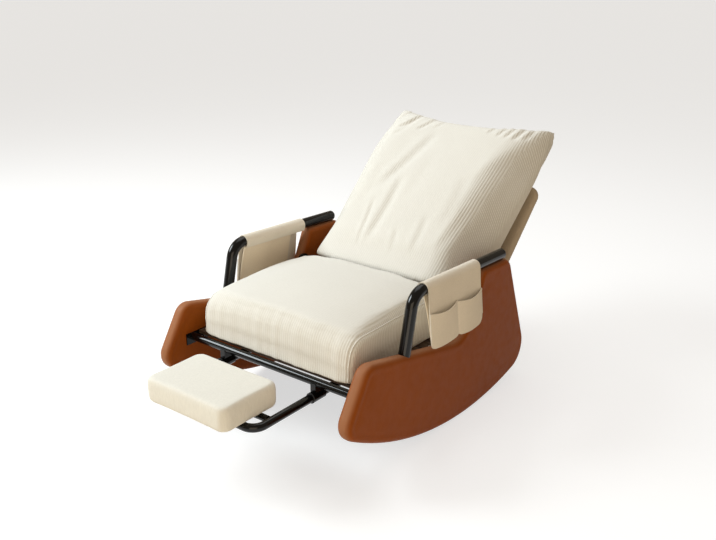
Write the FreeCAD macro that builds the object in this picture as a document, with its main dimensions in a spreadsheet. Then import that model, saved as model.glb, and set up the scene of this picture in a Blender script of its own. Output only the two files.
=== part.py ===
import FreeCAD, Part
import math
import os

import Sketcher

Vector = FreeCAD.Vector

# Driving sizes, in millimetres and degrees. A station is a distance back from the tip of the nose.
SIZES = {
    # Rocker panels
    "total_width": 740.0,
    "panel_thick": 45.0,
    "panel_rim": 16.0,
    "panel_padding": 13.0,
    "rocker_radius": 1160.0,
    "lowest_station": 654.0,
    "nose_station": 24.5,
    "brow_station": 128.0,
    "brow_height": 354.0,
    "dip_station": 612.0,
    "dip_height": 250.0,
    "fin_front_station": 706.0,
    "fin_rear_station": 872.0,
    "heel_station": 1026.0,
    "nose_round": 50.0,
    "brow_round": 45.0,
    "dip_round": 80.0,
    "fin_front_round": 24.0,
    "fin_rear_round": 42.0,
    "heel_round": 85.0,
    # Arm tubes
    "arm_radius": 17.25,
    "arm_wall": 2.0,
    "arm_corner_station": 357.0,
    "arm_corner_height": 481.0,
    "arm_lean": 13.0,
    "arm_drop": 2.0,
    "arm_bend": 52.0,
    "arm_foot_length": 233.0,
    "arm_run_length": 487.0,
    "arm_plug_depth": 22.0,
    "arm_plug_dome": 7.0,
    # Seat frame
    "bar_radius": 12.0,
    "bar_wall": 1.5,
    "bar_height": 245.5,
    "front_bar_station": 142.0,
    "middle_bar_station": 392.0,
    "rear_bar_station": 604.0,
    "middle_bar_width": 30.0,
    "middle_bar_thick": 6.0,
    "rail_thick": 4.0,
    "rail_front_station": 118.0,
    "rail_rear_station": 690.0,
    "rail_deep": 36.0,
    "ledge_width": 24.0,
    "slat_count": 8.0,
    "slat_width": 44.0,
    "slat_thick": 10.0,
    "slat_end_gap": 2.0,
    "screw_radius": 2.5,
    "screw_head": 4.5,
    # Seat cushion
    "seat_side_gap": 37.0,
    "seat_front_station": 152.0,
    "seat_rear_station": 606.0,
    "seat_side_height": 386.0,
    "seat_crown": 34.0,
    "seat_front_round_share": 0.485,
    "seat_rear_round_share": 0.08,
    "seat_low_round_share": 0.203,
    "seat_rear_low_round_share": 0.1,
    "seat_front_crown_share": 0.45,
    "seat_rear_crown_share": 0.75,
    "seat_back_room": 4.0,
    # Footrest frame, guides and pad
    "leg_half": 177.0,
    "leg_radius": 12.0,
    "leg_wall": 1.5,
    "leg_drop": 40.0,
    "leg_rear_station": 440.0,
    "base_station": -101.0,
    "leg_bend": 36.0,
    "guide_wall": 1.8,
    "bush_wall": 1.6,
    "guide_length": 46.0,
    "hanger_half": 9.0,
    "hanger_deep": 28.0,
    "bush_lip": 2.0,
    "stop_length": 12.0,
    "stop_wall": 3.5,
    "flip_station": -37.0,
    "flip_radius": 10.0,
    "clip_half": 90.0,
    "clip_width": 22.0,
    "clip_deep": 26.0,
    "clip_round_share": 0.9,
    "board_thick": 4.0,
    "board_margin": 20.0,
    "pad_half": 152.0,
    "pad_front_station": -182.0,
    "pad_rear_station": 23.0,
    "pad_thick": 72.0,
    "pad_round": 24.0,
    "pad_crown": 4.0,
    # Recline hinge
    "hinge_station": 655.0,
    "hinge_height": 345.0,
    "back_lean": 46.0,
    "back_travel": 30.0,
    "plate_thick": 4.0,
    "hinge_disc": 30.0,
    "plate_foot_share": 1.2,
    "plate_top_share": 0.98,
    "recline_arm_share": 1.3,
    "recline_round_share": 0.86,
    "pin_radius": 6.0,
    "pin_head_radius": 11.0,
    "pin_head_thick": 3.0,
    # Backrest, in its own directions: up the back, and out from the hinge line
    "frame_offset": -202.3,
    "back_tube_radius": 11.0,
    "back_tube_wall": 1.5,
    "back_leg_inset": 51.0,
    "back_low": 50.0,
    "back_top": 560.0,
    "back_bend": 60.0,
    "strap_count": 5.0,
    "strap_width": 60.0,
    "strap_thick": 2.0,
    "strap_overhang": 9.0,
    "back_side_gap": 39.0,
    "shell_low": 76.0,
    "shell_top": 578.0,
    "shell_thick": 28.0,
    "shell_corner": 40.0,
    "shell_low_corner": 30.0,
    "shell_rim": 12.0,
    # Back cushion, in the same directions
    "cushion_foot_inset": 34.0,
    "cushion_top_spread": 38.0,
    "cushion_front_spread_share": 0.15,
    "cushion_foot_front": 8.0,
    "cushion_foot_rear": 55.0,
    "cushion_front_low": 72.0,
    "cushion_front_high": -74.0,
    "cushion_seam": -181.0,
    "cushion_top": 731.0,
    "cushion_ear": 16.0,
    "cushion_ear_share": 0.2,
    "cushion_front_crown": 20.0,
    "cushion_rear_crown": 8.0,
    "cushion_foot_front_round": 14.0,
    "cushion_foot_rear_round": 30.0,
    "cushion_foot_lift": 240.0,
    "cushion_top_round": 19.0,
    # Arm caddies
    "caddy_cloth": 3.0,
    "caddy_front_station": 400.0,
    "caddy_length": 280.0,
    "caddy_outer_drop": 172.0,
    "caddy_inner_drop": 120.0,
    "caddy_inner_inset": 50.0,
    "caddy_sleeve_depth": 5.0,
    "caddy_flare": 9.0,
    "caddy_inner_flare": 3.0,
    "caddy_corner": 24.0,
    "pocket_cloth": 2.5,
    "pocket_height": 96.0,
    "pocket_hem": 8.0,
    "pocket_gape": 12.0,
    "pocket_middle_gape": 7.4,
    "pocket_foot_gape": 2.0,
    "pocket_margin": 6.0,
    # Fasteners
    "bolt_radius": 4.0,
    "bolt_head_radius": 7.0,
    "bolt_head_thick": 4.5,
    "bolt_length": 30.0,
    # Clearances
    "slip_gap": 0.05,
    "seat_gap": 0.3,
    "bore_gap": 0.2,
    "overrun": 20.0,
}

# The footrest cushion's edge from below up: share of its thickness, pull-in as a share of its corner radius
PAD_EDGE_SHARES = [(0, 0.34), (0.06, 0.12), (0.18, 0.02), (0.5, 0), (0.82, 0.02), (0.94, 0.14), (1, 0.38)]

doc = FreeCAD.newDocument("RockingArmchair")
sheet = doc.addObject("Spreadsheet::Sheet", "Sizes")
for row, (name, value) in enumerate(SIZES.items(), start=1):
    sheet.set(f"A{row}", name.replace("_", " "))
    sheet.set(f"B{row}", str(value))
    sheet.setAlias(f"B{row}", name)
doc.recompute()


class Size:
    """A number together with the sheet expression that gives it."""

    def __init__(self, number, text):
        self.number = float(number)
        self.text = text

    def __add__(self, other):
        other = as_size(other)
        return Size(self.number + other.number, f"({self.text} + {other.text})")

    def __sub__(self, other):
        other = as_size(other)
        return Size(self.number - other.number, f"({self.text} - {other.text})")

    def __mul__(self, other):
        other = as_size(other)
        return Size(self.number * other.number, f"({self.text} * {other.text})")

    def __truediv__(self, other):
        other = as_size(other)
        return Size(self.number / other.number, f"({self.text} / {other.text})")

    def __rsub__(self, other):
        return as_size(other) - self

    def __neg__(self):
        return Size(-self.number, f"(0 - {self.text})")

    __radd__ = __add__
    __rmul__ = __mul__


def as_size(value):
    if isinstance(value, Size):
        return value
    return Size(value, f"({value:.9f})")


def sine(angle):
    return Size(math.sin(math.radians(angle.number)), f"sin({angle.text})")


def cosine(angle):
    return Size(math.cos(math.radians(angle.number)), f"cos({angle.text})")


def root(value):
    return Size(math.sqrt(value.number), f"sqrt({value.text})")


def angle_of(rise, run):
    """The angle of a slope, in degrees."""
    angle = math.degrees(math.atan(rise.number / run.number))
    return Size(angle, f"(atan({rise.text} / {run.text}) / 1 deg)")


class Sheet:
    """Every driving size by its name."""

    def __getattr__(self, name):
        return Size(sheet.get(name), f"Sizes.{name}")


s = Sheet()
ZERO = Size(0, "0")

# Places in the row frame: the origin is under the middle of the whole object's box
back_along = (sine(s.back_lean), cosine(s.back_lean))
back_out = (-cosine(s.back_lean), sine(s.back_lean))
top_round_along = s.cushion_top - s.cushion_top_round
top_round_out = s.cushion_seam + s.cushion_top_round
rear_reach = (s.hinge_station + top_round_along * back_along[0] + top_round_out * back_out[0]
              + s.cushion_top_round - s.cushion_ear * s.cushion_ear_share)
origin_station = (s.pad_front_station + rear_reach) / 2


def at(station):
    """The Y of a place that is given by its distance behind the nose."""
    return station - origin_station


panel_inner = s.total_width / 2 - s.panel_thick
panel_middle = s.total_width / 2 - s.panel_thick / 2
bar_top = s.bar_height + s.bar_radius
seat_base = bar_top + s.seat_gap
guide_bore = s.leg_radius + s.slip_gap + s.bush_wall + s.slip_gap
guide_radius = guide_bore + s.guide_wall
leg_height = s.bar_height - s.leg_drop
board_base = leg_height + s.leg_radius + s.seat_gap
rail_inner = panel_inner - s.rail_thick
plate_inner = rail_inner - s.plate_thick
arm_plate_outer = plate_inner - s.seat_gap
arm_plate_inner = arm_plate_outer - s.plate_thick
seat_half = panel_inner - s.seat_side_gap
shell_half = panel_inner - s.back_side_gap
back_leg_half = shell_half - s.back_leg_inset
cushion_foot_half = shell_half - s.cushion_foot_inset


# Document objects

def bind(item, prop, size):
    """Set a property from the sheet."""
    item.setExpression(prop, size.text)


def new_body(label):
    return doc.addObject("PartDesign::Body", label)


def new_sketch(body, role, offset=ZERO):
    """A sketch on one of the body's origin planes, moved along that plane's normal."""
    sketch = body.newObject("Sketcher::SketchObject", body.Name + "_sketch")
    plane = next(item for item in body.Origin.OriginFeatures if item.Role == role)
    sketch.AttachmentSupport = (plane, [""])
    sketch.MapMode = "FlatFace"
    bind(sketch, "AttachmentOffset.Base.z", offset)
    return sketch


def dimension(sketch, kind, size, *places):
    number = sketch.addConstraint(Sketcher.Constraint(kind, *places, size.number))
    bind(sketch, f"Constraints[{number}]", size)


def hold(sketch, index, end, point):
    """Hold one end or the centre of a sketch element at a point of two sizes."""
    for kind, axis, size in (("DistanceX", -2, point[0]), ("DistanceY", -1, point[1])):
        if abs(size.number) < 1e-9:
            sketch.addConstraint(Sketcher.Constraint("PointOnObject", index, end, axis))
        else:
            dimension(sketch, kind, size, -1, 1, index, end)


def draw_line(sketch, start, end):
    line = Part.LineSegment(flat(start), flat(end))
    index = sketch.addGeometry(line)
    hold(sketch, index, 1, start)
    hold(sketch, index, 2, end)


def draw_circle(sketch, centre, radius):
    circle = Part.Circle(flat(centre), Vector(0, 0, 1), radius.number)
    index = sketch.addGeometry(circle)
    hold(sketch, index, 3, centre)
    dimension(sketch, "Radius", radius, index)


def draw_arc(sketch, start, end, centre, radius):
    """The shorter arc between two points, about a numeric centre."""
    first = math.atan2(start[1].number - centre[1], start[0].number - centre[0])
    last = math.atan2(end[1].number - centre[1], end[0].number - centre[0])
    forward = (last - first) % math.tau < math.pi
    if not forward:
        first, last = last, first
    circle = Part.Circle(Vector(centre[0], centre[1], 0), Vector(0, 0, 1), radius.number)
    index = sketch.addGeometry(Part.ArcOfCircle(circle, first, last))
    hold(sketch, index, 1, start if forward else end)
    hold(sketch, index, 2, end if forward else start)
    dimension(sketch, "Radius", radius, index)


def flat(point):
    return Vector(point[0].number, point[1].number, 0)


# Plane geometry in numbers, for the points where arcs and lines meet

def line_edge(start, end):
    dx = end[0] - start[0]
    dy = end[1] - start[1]
    length = math.hypot(dx, dy)
    return ("line", start[0], start[1], dx / length, dy / length)


def moved_in(edge, distance):
    """The edge moved to its left, or for a circle towards its centre."""
    if edge[0] == "line":
        _, px, py, dx, dy = edge
        return ("line", px - dy * distance, py + dx * distance, dx, dy)
    _, cx, cy, radius = edge
    return ("circle", cx, cy, radius - distance)


def nearest_on(edge, point):
    if edge[0] == "line":
        _, px, py, dx, dy = edge
        along = (point[0] - px) * dx + (point[1] - py) * dy
        return (px + dx * along, py + dy * along)
    _, cx, cy, radius = edge
    away = math.hypot(point[0] - cx, point[1] - cy)
    return (cx + (point[0] - cx) * radius / away, cy + (point[1] - cy) * radius / away)


def meeting(first, second, near):
    """Where two edges cross, nearest to a point."""
    if first[0] == "circle":
        first, second = second, first
    _, px, py, dx, dy = first
    if second[0] == "line":
        _, qx, qy, ex, ey = second
        along = ((qx - px) * ey - (qy - py) * ex) / (dx * ey - dy * ex)
        return (px + dx * along, py + dy * along)
    _, cx, cy, radius = second
    middle = (cx - px) * dx + (cy - py) * dy
    away = (px + dx * middle - cx) ** 2 + (py + dy * middle - cy) ** 2
    reach = math.sqrt(radius ** 2 - away)
    options = [(px + dx * step, py + dy * step) for step in (middle - reach, middle + reach)]
    return min(options, key=lambda p: math.hypot(p[0] - near[0], p[1] - near[1]))


def placed_from(corner, size, point):
    """A numeric point as a named corner plus shares of a named size."""
    shares = [(point[axis] - corner[axis].number) / size.number for axis in (0, 1)]
    return (corner[0] + size * shares[0], corner[1] + size * shares[1])


def draw_outline(sketch, corners, radii, base_circle=None, closed=True):
    """Lines with rounded corners; the first side of a closed outline may be a large arc.

    Corners run anticlockwise. base_circle is the large arc's centre, in numbers, and its radius.
    """
    points = [(corner[0].number, corner[1].number) for corner in corners]
    count = len(corners)
    sides = [line_edge(points[i], points[(i + 1) % count]) for i in range(count if closed else count - 1)]
    if base_circle:
        sides[0] = ("circle", base_circle[0][0], base_circle[0][1], base_circle[1].number)
    ends = []
    for i, corner in enumerate(corners):
        if radii[i] is None or (not closed and i in (0, count - 1)):
            ends.append((corner, corner))
            continue
        before, after = sides[i - 1], sides[i]
        turn = turning(before, after, points[i])
        reach = radii[i].number if turn > 0 else -radii[i].number
        centre = meeting(moved_in(before, reach), moved_in(after, reach), points[i])
        start = placed_from(corner, radii[i], nearest_on(before, centre))
        end = placed_from(corner, radii[i], nearest_on(after, centre))
        draw_arc(sketch, start, end, centre, radii[i])
        ends.append((start, end))
    for i, side in enumerate(sides):
        start, end = ends[i][1], ends[(i + 1) % count][0]
        if side[0] == "circle":
            draw_arc(sketch, start, end, side[1:3], base_circle[1])
        else:
            draw_line(sketch, start, end)


def turning(before, after, point):
    """Positive where the outline turns left at a corner."""
    first, second = (tangent_of(edge, point) for edge in (before, after))
    return first[0] * second[1] - first[1] * second[0]


def tangent_of(edge, point):
    if edge[0] == "line":
        return edge[3:5]
    _, cx, cy, radius = edge
    return (-(point[1] - cy) / radius, (point[0] - cx) / radius)


def inset_corners(corners, size, base_circle=None):
    """The corners of an outline moved in by a named size."""
    points = [(corner[0].number, corner[1].number) for corner in corners]
    count = len(corners)
    sides = [line_edge(points[i], points[(i + 1) % count]) for i in range(count)]
    if base_circle:
        sides[0] = ("circle", base_circle[0][0], base_circle[0][1], base_circle[1].number)
    moved = [moved_in(side, size.number) for side in sides]
    return [
        placed_from(corner, size, meeting(moved[i - 1], moved[i], points[i]))
        for i, corner in enumerate(corners)
    ]


# Features

def pad(body, sketch, length, both_ways=False):
    feature = body.newObject("PartDesign::Pad", body.Name + "_pad")
    feature.Profile = sketch
    bind(feature, "Length", length)
    feature.Midplane = both_ways
    return feature


def pocket(body, sketch, length):
    feature = body.newObject("PartDesign::Pocket", body.Name + "_pocket")
    feature.Profile = sketch
    bind(feature, "Length", length)
    feature.Midplane = True
    return feature


def pipe(label, role, corners, bend, radius, wall, profile_role):
    """A bent tube along a flat path of straight runs with rounded corners."""
    body = new_body(label)
    path = new_sketch(body, role)
    draw_outline(path, corners, [bend] * len(corners), closed=False)
    ring = new_sketch(body, profile_role)
    centre = tube_start(role, corners[0])
    draw_circle(ring, centre, radius)
    draw_circle(ring, centre, radius - wall)
    doc.recompute()
    sweep = body.newObject("PartDesign::AdditivePipe", label + "_sweep")
    sweep.Profile = ring
    sweep.Spine = (path, [f"Edge{i + 1}" for i in range(len(path.Geometry))])
    return body, ring


def tube_start(role, corner):
    """The centre of a pipe's ring, in the plane that its first run leaves squarely."""
    return (ZERO, corner[0]) if role == "YZ_Plane" else (corner[0], ZERO)


def rod(label, radius, length, base, direction, wall=None):
    """A round bar or tube on an axis; its base point and direction are in the row frame."""
    solid = doc.addObject("Part::Cylinder", label)
    bind(solid, "Radius", radius)
    bind(solid, "Height", length)
    place(solid, base, Vector(0, 0, 1), direction)
    if wall is None:
        return solid
    core = doc.addObject("Part::Cylinder", label + "_bore")
    bind(core, "Radius", radius - wall)
    bind(core, "Height", length)
    place(core, base, Vector(0, 0, 1), direction)
    return cut(label + "_tube", solid, core)


def place(item, base, normal, direction):
    item.Placement = FreeCAD.Placement(Vector(0, 0, 0), FreeCAD.Rotation(normal, direction))
    for axis, size in zip("xyz", base):
        bind(item, f"Placement.Base.{axis}", size)


def box(label, low, high):
    solid = doc.addObject("Part::Box", label)
    for prop, axis in (("Length", 0), ("Width", 1), ("Height", 2)):
        bind(solid, prop, high[axis] - low[axis])
    for axis, name in enumerate("xyz"):
        bind(solid, f"Placement.Base.{name}", low[axis])
    return solid


def cut(label, base, tool):
    feature = doc.addObject("Part::Cut", label)
    feature.Base = base
    feature.Tool = tool
    return feature


def together(label, items):
    feature = doc.addObject("Part::MultiFuse", label)
    feature.Shapes = items
    return feature


def group(label, items):
    """Several separate solids in one node."""
    feature = doc.addObject("Part::Compound", label)
    feature.Links = items
    return feature


def mirrored(label, source):
    feature = doc.addObject("Part::Mirroring", label)
    feature.Source = source
    feature.Normal = Vector(1, 0, 0)
    return feature


def tilt(item, base, angle):
    """Turn an item about X and set its place."""
    item.Placement = FreeCAD.Placement(Vector(0, 0, 0), FreeCAD.Rotation(Vector(1, 0, 0), 1))
    bind(item, "Placement.Rotation.Angle", angle)
    for axis, size in zip("xyz", base):
        bind(item, f"Placement.Base.{axis}", size)


nodes = []


def node(label, item):
    item.Label = label
    nodes.append(item)
    return item


X_AXIS = Vector(1, 0, 0)
Y_AXIS = Vector(0, 1, 0)


# Rocker panels

def arc_height(station):
    """Height of the rocking arc above the floor at a station."""
    away = station - s.lowest_station
    return s.rocker_radius - root(s.rocker_radius * s.rocker_radius - away * away)


def under_arm_tube(station):
    """Height just below the arm tube's level run."""
    fall = (station - s.arm_corner_station) * sine(s.arm_drop) / cosine(s.arm_drop)
    return s.arm_corner_height - fall - (s.arm_radius + s.seat_gap) / cosine(s.arm_drop)


rocker_corners = [
    (at(s.nose_station), arc_height(s.nose_station)),
    (at(s.heel_station), arc_height(s.heel_station)),
    (at(s.fin_rear_station), under_arm_tube(s.fin_rear_station)),
    (at(s.fin_front_station), under_arm_tube(s.fin_front_station)),
    (at(s.dip_station), s.dip_height),
    (at(s.brow_station), s.brow_height),
]
rocker_rounds = [
    s.nose_round,
    s.heel_round,
    s.fin_rear_round,
    s.fin_front_round,
    s.dip_round,
    s.brow_round,
]
arc_centre = (at(s.lowest_station).number, s.rocker_radius.number)
rocker_arc = (arc_centre, s.rocker_radius)
board_arc = (arc_centre, s.rocker_radius - s.panel_padding)

rail_low = bar_top + s.seat_gap - s.rail_deep
rail_middle = rail_low + s.rail_deep / 3
bolt_stations = [
    s.front_bar_station + s.rail_deep,
    (s.front_bar_station + s.middle_bar_station) / 2 + s.rail_deep / 2,
    s.middle_bar_station + s.rail_deep * 2,
    s.rear_bar_station + s.rail_deep,
]


def arm_foot_bore():
    """The hole that holds the foot of the right arm tube."""
    bore = rod("foot_bore", s.arm_radius + s.bore_gap, s.arm_foot_length, (ZERO, ZERO, ZERO), X_AXIS)
    tilt(bore, arm_foot_base(), -s.arm_lean)
    return bore


def arm_foot_base():
    station = s.arm_corner_station - s.arm_foot_length * sine(s.arm_lean)
    height = s.arm_corner_height - s.arm_foot_length * cosine(s.arm_lean)
    return (panel_middle, at(station), height - s.seat_gap)


def bolt_bores():
    return [
        rod(f"bolt_bore_{i}", s.bolt_radius + s.bore_gap, s.bolt_length + s.seat_gap,
            (rail_inner, at(station), rail_middle), X_AXIS)
        for i, station in enumerate(bolt_stations)
    ]


def rocker_blank(label, corners, rounds, arc, thick):
    body = new_body(label)
    outline = new_sketch(body, "YZ_Plane", panel_middle)
    draw_outline(outline, corners, rounds, arc)
    pad(body, outline, thick, both_ways=True)
    return body


def rounded_rim(body, radius):
    """Round the edges of the two large faces."""
    doc.recompute()
    blank = body.Tip
    faces = [
        f"Face{i + 1}" for i, face in enumerate(blank.Shape.Faces)
        if abs(abs(face.normalAt(0, 0).x) - 1) < 1e-6 and face.Surface.TypeId == "Part::GeomPlane"
    ]
    rim = body.newObject("PartDesign::Fillet", body.Name + "_rim")
    rim.Base = (blank, faces)
    bind(rim, "Radius", radius)
    return body


def rocker_panels():
    outer = rocker_blank("rocker_outer", rocker_corners, rocker_rounds, rocker_arc, s.panel_thick)
    rounded_rim(outer, s.panel_rim)
    inner_corners = inset_corners(rocker_corners, s.panel_padding, rocker_arc)
    inner_rounds = [radius - s.panel_padding for radius in rocker_rounds]
    inner_rounds[4] = s.dip_round + s.panel_padding
    board_thick = s.panel_thick - s.panel_padding * 2
    board = rocker_blank("rocker_core", inner_corners, inner_rounds, board_arc, board_thick)
    bores = together("rocker_bores", [arm_foot_bore()] + bolt_bores())
    cover_tool = together("cover_hollow", [board, bores])
    right_cover = node("rocker_cover_right", cut("rocker_cover", outer, cover_tool))
    right_board = node("rocker_board_right", cut("rocker_board", board, bores))
    node("rocker_cover_left", mirrored("rocker_cover_mirror", right_cover))
    node("rocker_board_left", mirrored("rocker_board_mirror", right_board))


# Arm tubes with their end plugs

def arm_tubes():
    turn = s.arm_lean - s.arm_drop
    corners = [
        (ZERO, -s.arm_foot_length),
        (ZERO, ZERO),
        (s.arm_run_length * cosine(turn), s.arm_run_length * sine(turn)),
    ]
    body, _ = pipe("arm_tube", "YZ_Plane", corners, s.arm_bend, s.arm_radius, s.arm_wall, "XY_Plane")
    ring = body.Group[1]
    bind(ring, "AttachmentOffset.Base.z", -s.arm_foot_length)
    tilt(body, (panel_middle, at(s.arm_corner_station), s.arm_corner_height), -s.arm_lean)
    node("arm_tube_right", body)
    node("arm_tube_left", mirrored("arm_tube_mirror", body))
    plug = arm_plug()
    node("arm_tube_plugs", group("plugs", [plug, mirrored("plug_mirror", plug)]))


def arm_plug():
    """A domed plastic plug in the rear end of the tube, turned about the tube's axis."""
    body = new_body("arm_plug")
    profile = new_sketch(body, "YZ_Plane")
    shank = s.arm_radius - s.arm_wall - s.slip_gap
    flat_dome = s.arm_plug_dome / 2
    points = [
        (-s.arm_plug_depth, ZERO),
        (s.arm_plug_dome, ZERO),
        (s.arm_plug_dome, s.arm_radius - s.arm_plug_dome),
        (flat_dome, s.arm_radius - flat_dome / 2),
        (ZERO, s.arm_radius),
        (ZERO, shank),
        (-s.arm_plug_depth, shank),
    ]
    for i, point in enumerate(points):
        draw_line(profile, point, points[(i + 1) % len(points)])
    doc.recompute()
    turned = body.newObject("PartDesign::Revolution", "arm_plug_turned")
    turned.Profile = profile
    turned.ReferenceAxis = (profile, ["H_Axis"])
    turned.Angle = 360
    station = s.arm_corner_station + s.arm_run_length * cosine(s.arm_drop)
    height = s.arm_corner_height - s.arm_run_length * sine(s.arm_drop)
    tilt(body, (panel_middle, at(station), height), -s.arm_drop)
    return body


# Seat frame

def seat_rails():
    """Steel angles bolted to the inner faces of the panels."""
    side = box("rail_web", (rail_inner, at(s.rail_front_station), rail_low),
               (panel_inner, at(s.rail_rear_station), rail_low + s.rail_deep))
    ledge_top = seat_base - s.slat_thick
    front, rear = s.front_bar_station + s.bar_radius * 2, s.rear_bar_station - s.bar_radius * 2
    ledge = box("rail_ledge", (rail_inner - s.ledge_width, at(front), ledge_top - s.rail_thick),
                (rail_inner, at(rear), ledge_top))
    angle = together("rail_angle", [side, ledge])
    right = node("seat_rail_right", cut("rail_drilled", angle, together("rail_bores", bolt_bores())))
    node("seat_rail_left", mirrored("rail_mirror", right))
    return ledge_top


def crossbars():
    for label, station in (("front_crossbar", s.front_bar_station), ("rear_crossbar", s.rear_bar_station)):
        bar = rod(label + "_round", s.bar_radius, rail_inner * 2,
                  (-rail_inner, at(station), s.bar_height), X_AXIS, s.bar_wall)
        node(label, bar)
    half = s.middle_bar_width / 2
    low = leg_height + guide_radius
    node("middle_crossbar", box("middle_bar", (-rail_inner, at(s.middle_bar_station - half), low),
                                (rail_inner, at(s.middle_bar_station + half), low + s.middle_bar_thick)))


def seat_slats(ledge_top):
    first = s.front_bar_station + s.bar_radius * 2 + s.slat_width / 2
    last = s.rear_bar_station - s.bar_radius * 2 - s.slat_width / 2
    count = int(s.slat_count.number)
    half_length = rail_inner - s.slat_end_gap
    slats, screws = [], []
    for i in range(count):
        middle = first + (last - first) * (i / (count - 1))
        slats.append(box(f"slat_{i}", (-half_length, at(middle - s.slat_width / 2), ledge_top),
                         (half_length, at(middle + s.slat_width / 2), ledge_top + s.slat_thick)))
        for side in (-1, 1):
            x = (rail_inner - s.ledge_width / 2) * side
            screws.append(slat_screw(f"slat_screw_{i}_{side + 1}", x, at(middle), ledge_top))
    bores = together("slat_bores", [item[1] for item in screws])
    node("seat_slats", cut("slats_drilled", group("slats", slats), bores))
    return [item[0] for item in screws]


def slat_screw(label, x, y, ledge_top):
    """A screw sunk flush in the slat, and the hole that it fills."""
    up = Vector(0, 0, 1)
    head_low = ledge_top + s.slat_thick - s.screw_head / 2
    screw = together(label, [
        rod(label + "_shank", s.screw_radius, s.slat_thick, (x, y, ledge_top), up),
        rod(label + "_head", s.screw_head, s.screw_head / 2, (x, y, head_low), up),
    ])
    hole = together(label + "_hole", [
        rod(label + "_bore", s.screw_radius + s.slip_gap, s.slat_thick, (x, y, ledge_top), up),
        rod(label + "_sink", s.screw_head + s.slip_gap, s.screw_head / 2, (x, y, head_low), up),
    ])
    return screw, hole


def frame_bolts():
    """Button-head bolts through the rails into the panel boards."""
    bolts = []
    for i, station in enumerate(bolt_stations):
        base = (rail_inner, at(station), rail_middle)
        shank = rod(f"bolt_shank_{i}", s.bolt_radius, s.bolt_length, base, X_AXIS)
        head = rod(f"bolt_head_{i}", s.bolt_head_radius, s.bolt_head_thick,
                   (rail_inner - s.bolt_head_thick, base[1], base[2]), X_AXIS)
        bolt = together(f"bolt_{i}", [shank, head])
        bolts += [bolt, mirrored(f"bolt_mirror_{i}", bolt)]
    node("frame_bolts", group("bolts", bolts))


# Recline hinge

def on_back(along, out):
    """Y and Z of a place that is given up the back and out from the hinge line."""
    y = at(s.hinge_station) + along * back_along[0] + out * back_out[0]
    z = s.hinge_height + along * back_along[1] + out * back_out[1]
    return (y, z)


def hinge_plates():
    """Fixed plates that rise from the rails to the hinge pins."""
    body = new_body("hinge_plate")
    outline = new_sketch(body, "YZ_Plane", plate_inner)
    wide = s.hinge_disc * s.plate_foot_share
    y = at(s.hinge_station)
    foot = rail_low + s.seat_gap
    top = s.hinge_height + s.hinge_disc
    corners = [
        (y - wide, foot),
        (at(s.rail_rear_station) - s.seat_gap, foot),
        (at(s.rail_rear_station) - s.seat_gap, rail_low + s.rail_deep),
        (y + s.hinge_disc, s.hinge_height - s.hinge_disc / 2),
        (y + s.hinge_disc, top),
        (y - s.hinge_disc, top),
        (y - s.hinge_disc, s.hinge_height - s.hinge_disc / 2),
        (y - wide, rail_low + s.rail_deep),
    ]
    tight = s.hinge_disc * s.plate_top_share
    small = s.plate_thick
    draw_outline(outline, corners, [small, small, small, small, tight, tight, small, small])
    pad(body, outline, s.plate_thick)
    pin_bore = rod("plate_pin_bore", s.pin_radius + s.slip_gap, s.overrun,
                   (plate_inner - s.overrun / 2, y, s.hinge_height), X_AXIS)
    heads = rod("plate_head_bore", s.bolt_head_radius + s.seat_gap, s.overrun,
                (plate_inner - s.overrun / 2, at(bolt_stations[3]), rail_middle), X_AXIS)
    bores = together("plate_bores", [pin_bore, heads])
    right = node("hinge_plate_right", cut("hinge_plate_cut", body, bores))
    node("hinge_plate_left", mirrored("hinge_plate_mirror", right))


def hinge_pins():
    y = at(s.hinge_station)
    head_base = arm_plate_inner - s.seat_gap - s.pin_head_thick
    shank = rod("pin_shank", s.pin_radius, rail_inner - head_base, (head_base, y, s.hinge_height), X_AXIS)
    head = rod("pin_head", s.pin_head_radius, s.pin_head_thick, (head_base, y, s.hinge_height), X_AXIS)
    pin = together("hinge_pin", [shank, head])
    node("hinge_pins", group("pins", [pin, mirrored("pin_mirror", pin)]))


# Backrest

def recline_arms():
    """Flat steel arms from the hinge pins to the lower bar of the back frame."""
    body = new_body("recline_arm")
    outline = new_sketch(body, "YZ_Plane", arm_plate_inner)
    slim = s.back_tube_radius * s.recline_arm_share
    low = on_back(s.back_low, s.frame_offset)
    ends = [on_back(ZERO, ZERO), low]
    run = (low[0] - ends[0][0], low[1] - ends[0][1])
    length = math.hypot(run[0].number, run[1].number)
    along = (run[0].number / length, run[1].number / length)
    corners = []
    for end, reach, side, wide in (
        (0, -1, -1, s.hinge_disc), (1, 1, -1, slim), (1, 1, 1, slim), (0, -1, 1, s.hinge_disc),
    ):
        y = ends[end][0] + wide * (along[0] * reach - along[1] * side)
        z = ends[end][1] + wide * (along[1] * reach + along[0] * side)
        corners.append((y, z))
    big, little = s.hinge_disc * s.recline_round_share, slim * s.recline_round_share
    draw_outline(outline, corners, [big, little, little, big])
    pad(body, outline, s.plate_thick)
    bore = rod("arm_pin_bore", s.pin_radius + s.slip_gap, s.overrun,
               (arm_plate_inner - s.overrun / 2, ends[0][0], ends[0][1]), X_AXIS)
    right = node("recline_arm_right", cut("recline_arm_cut", body, bore))
    node("recline_arm_left", mirrored("recline_arm_mirror", right))


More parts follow.
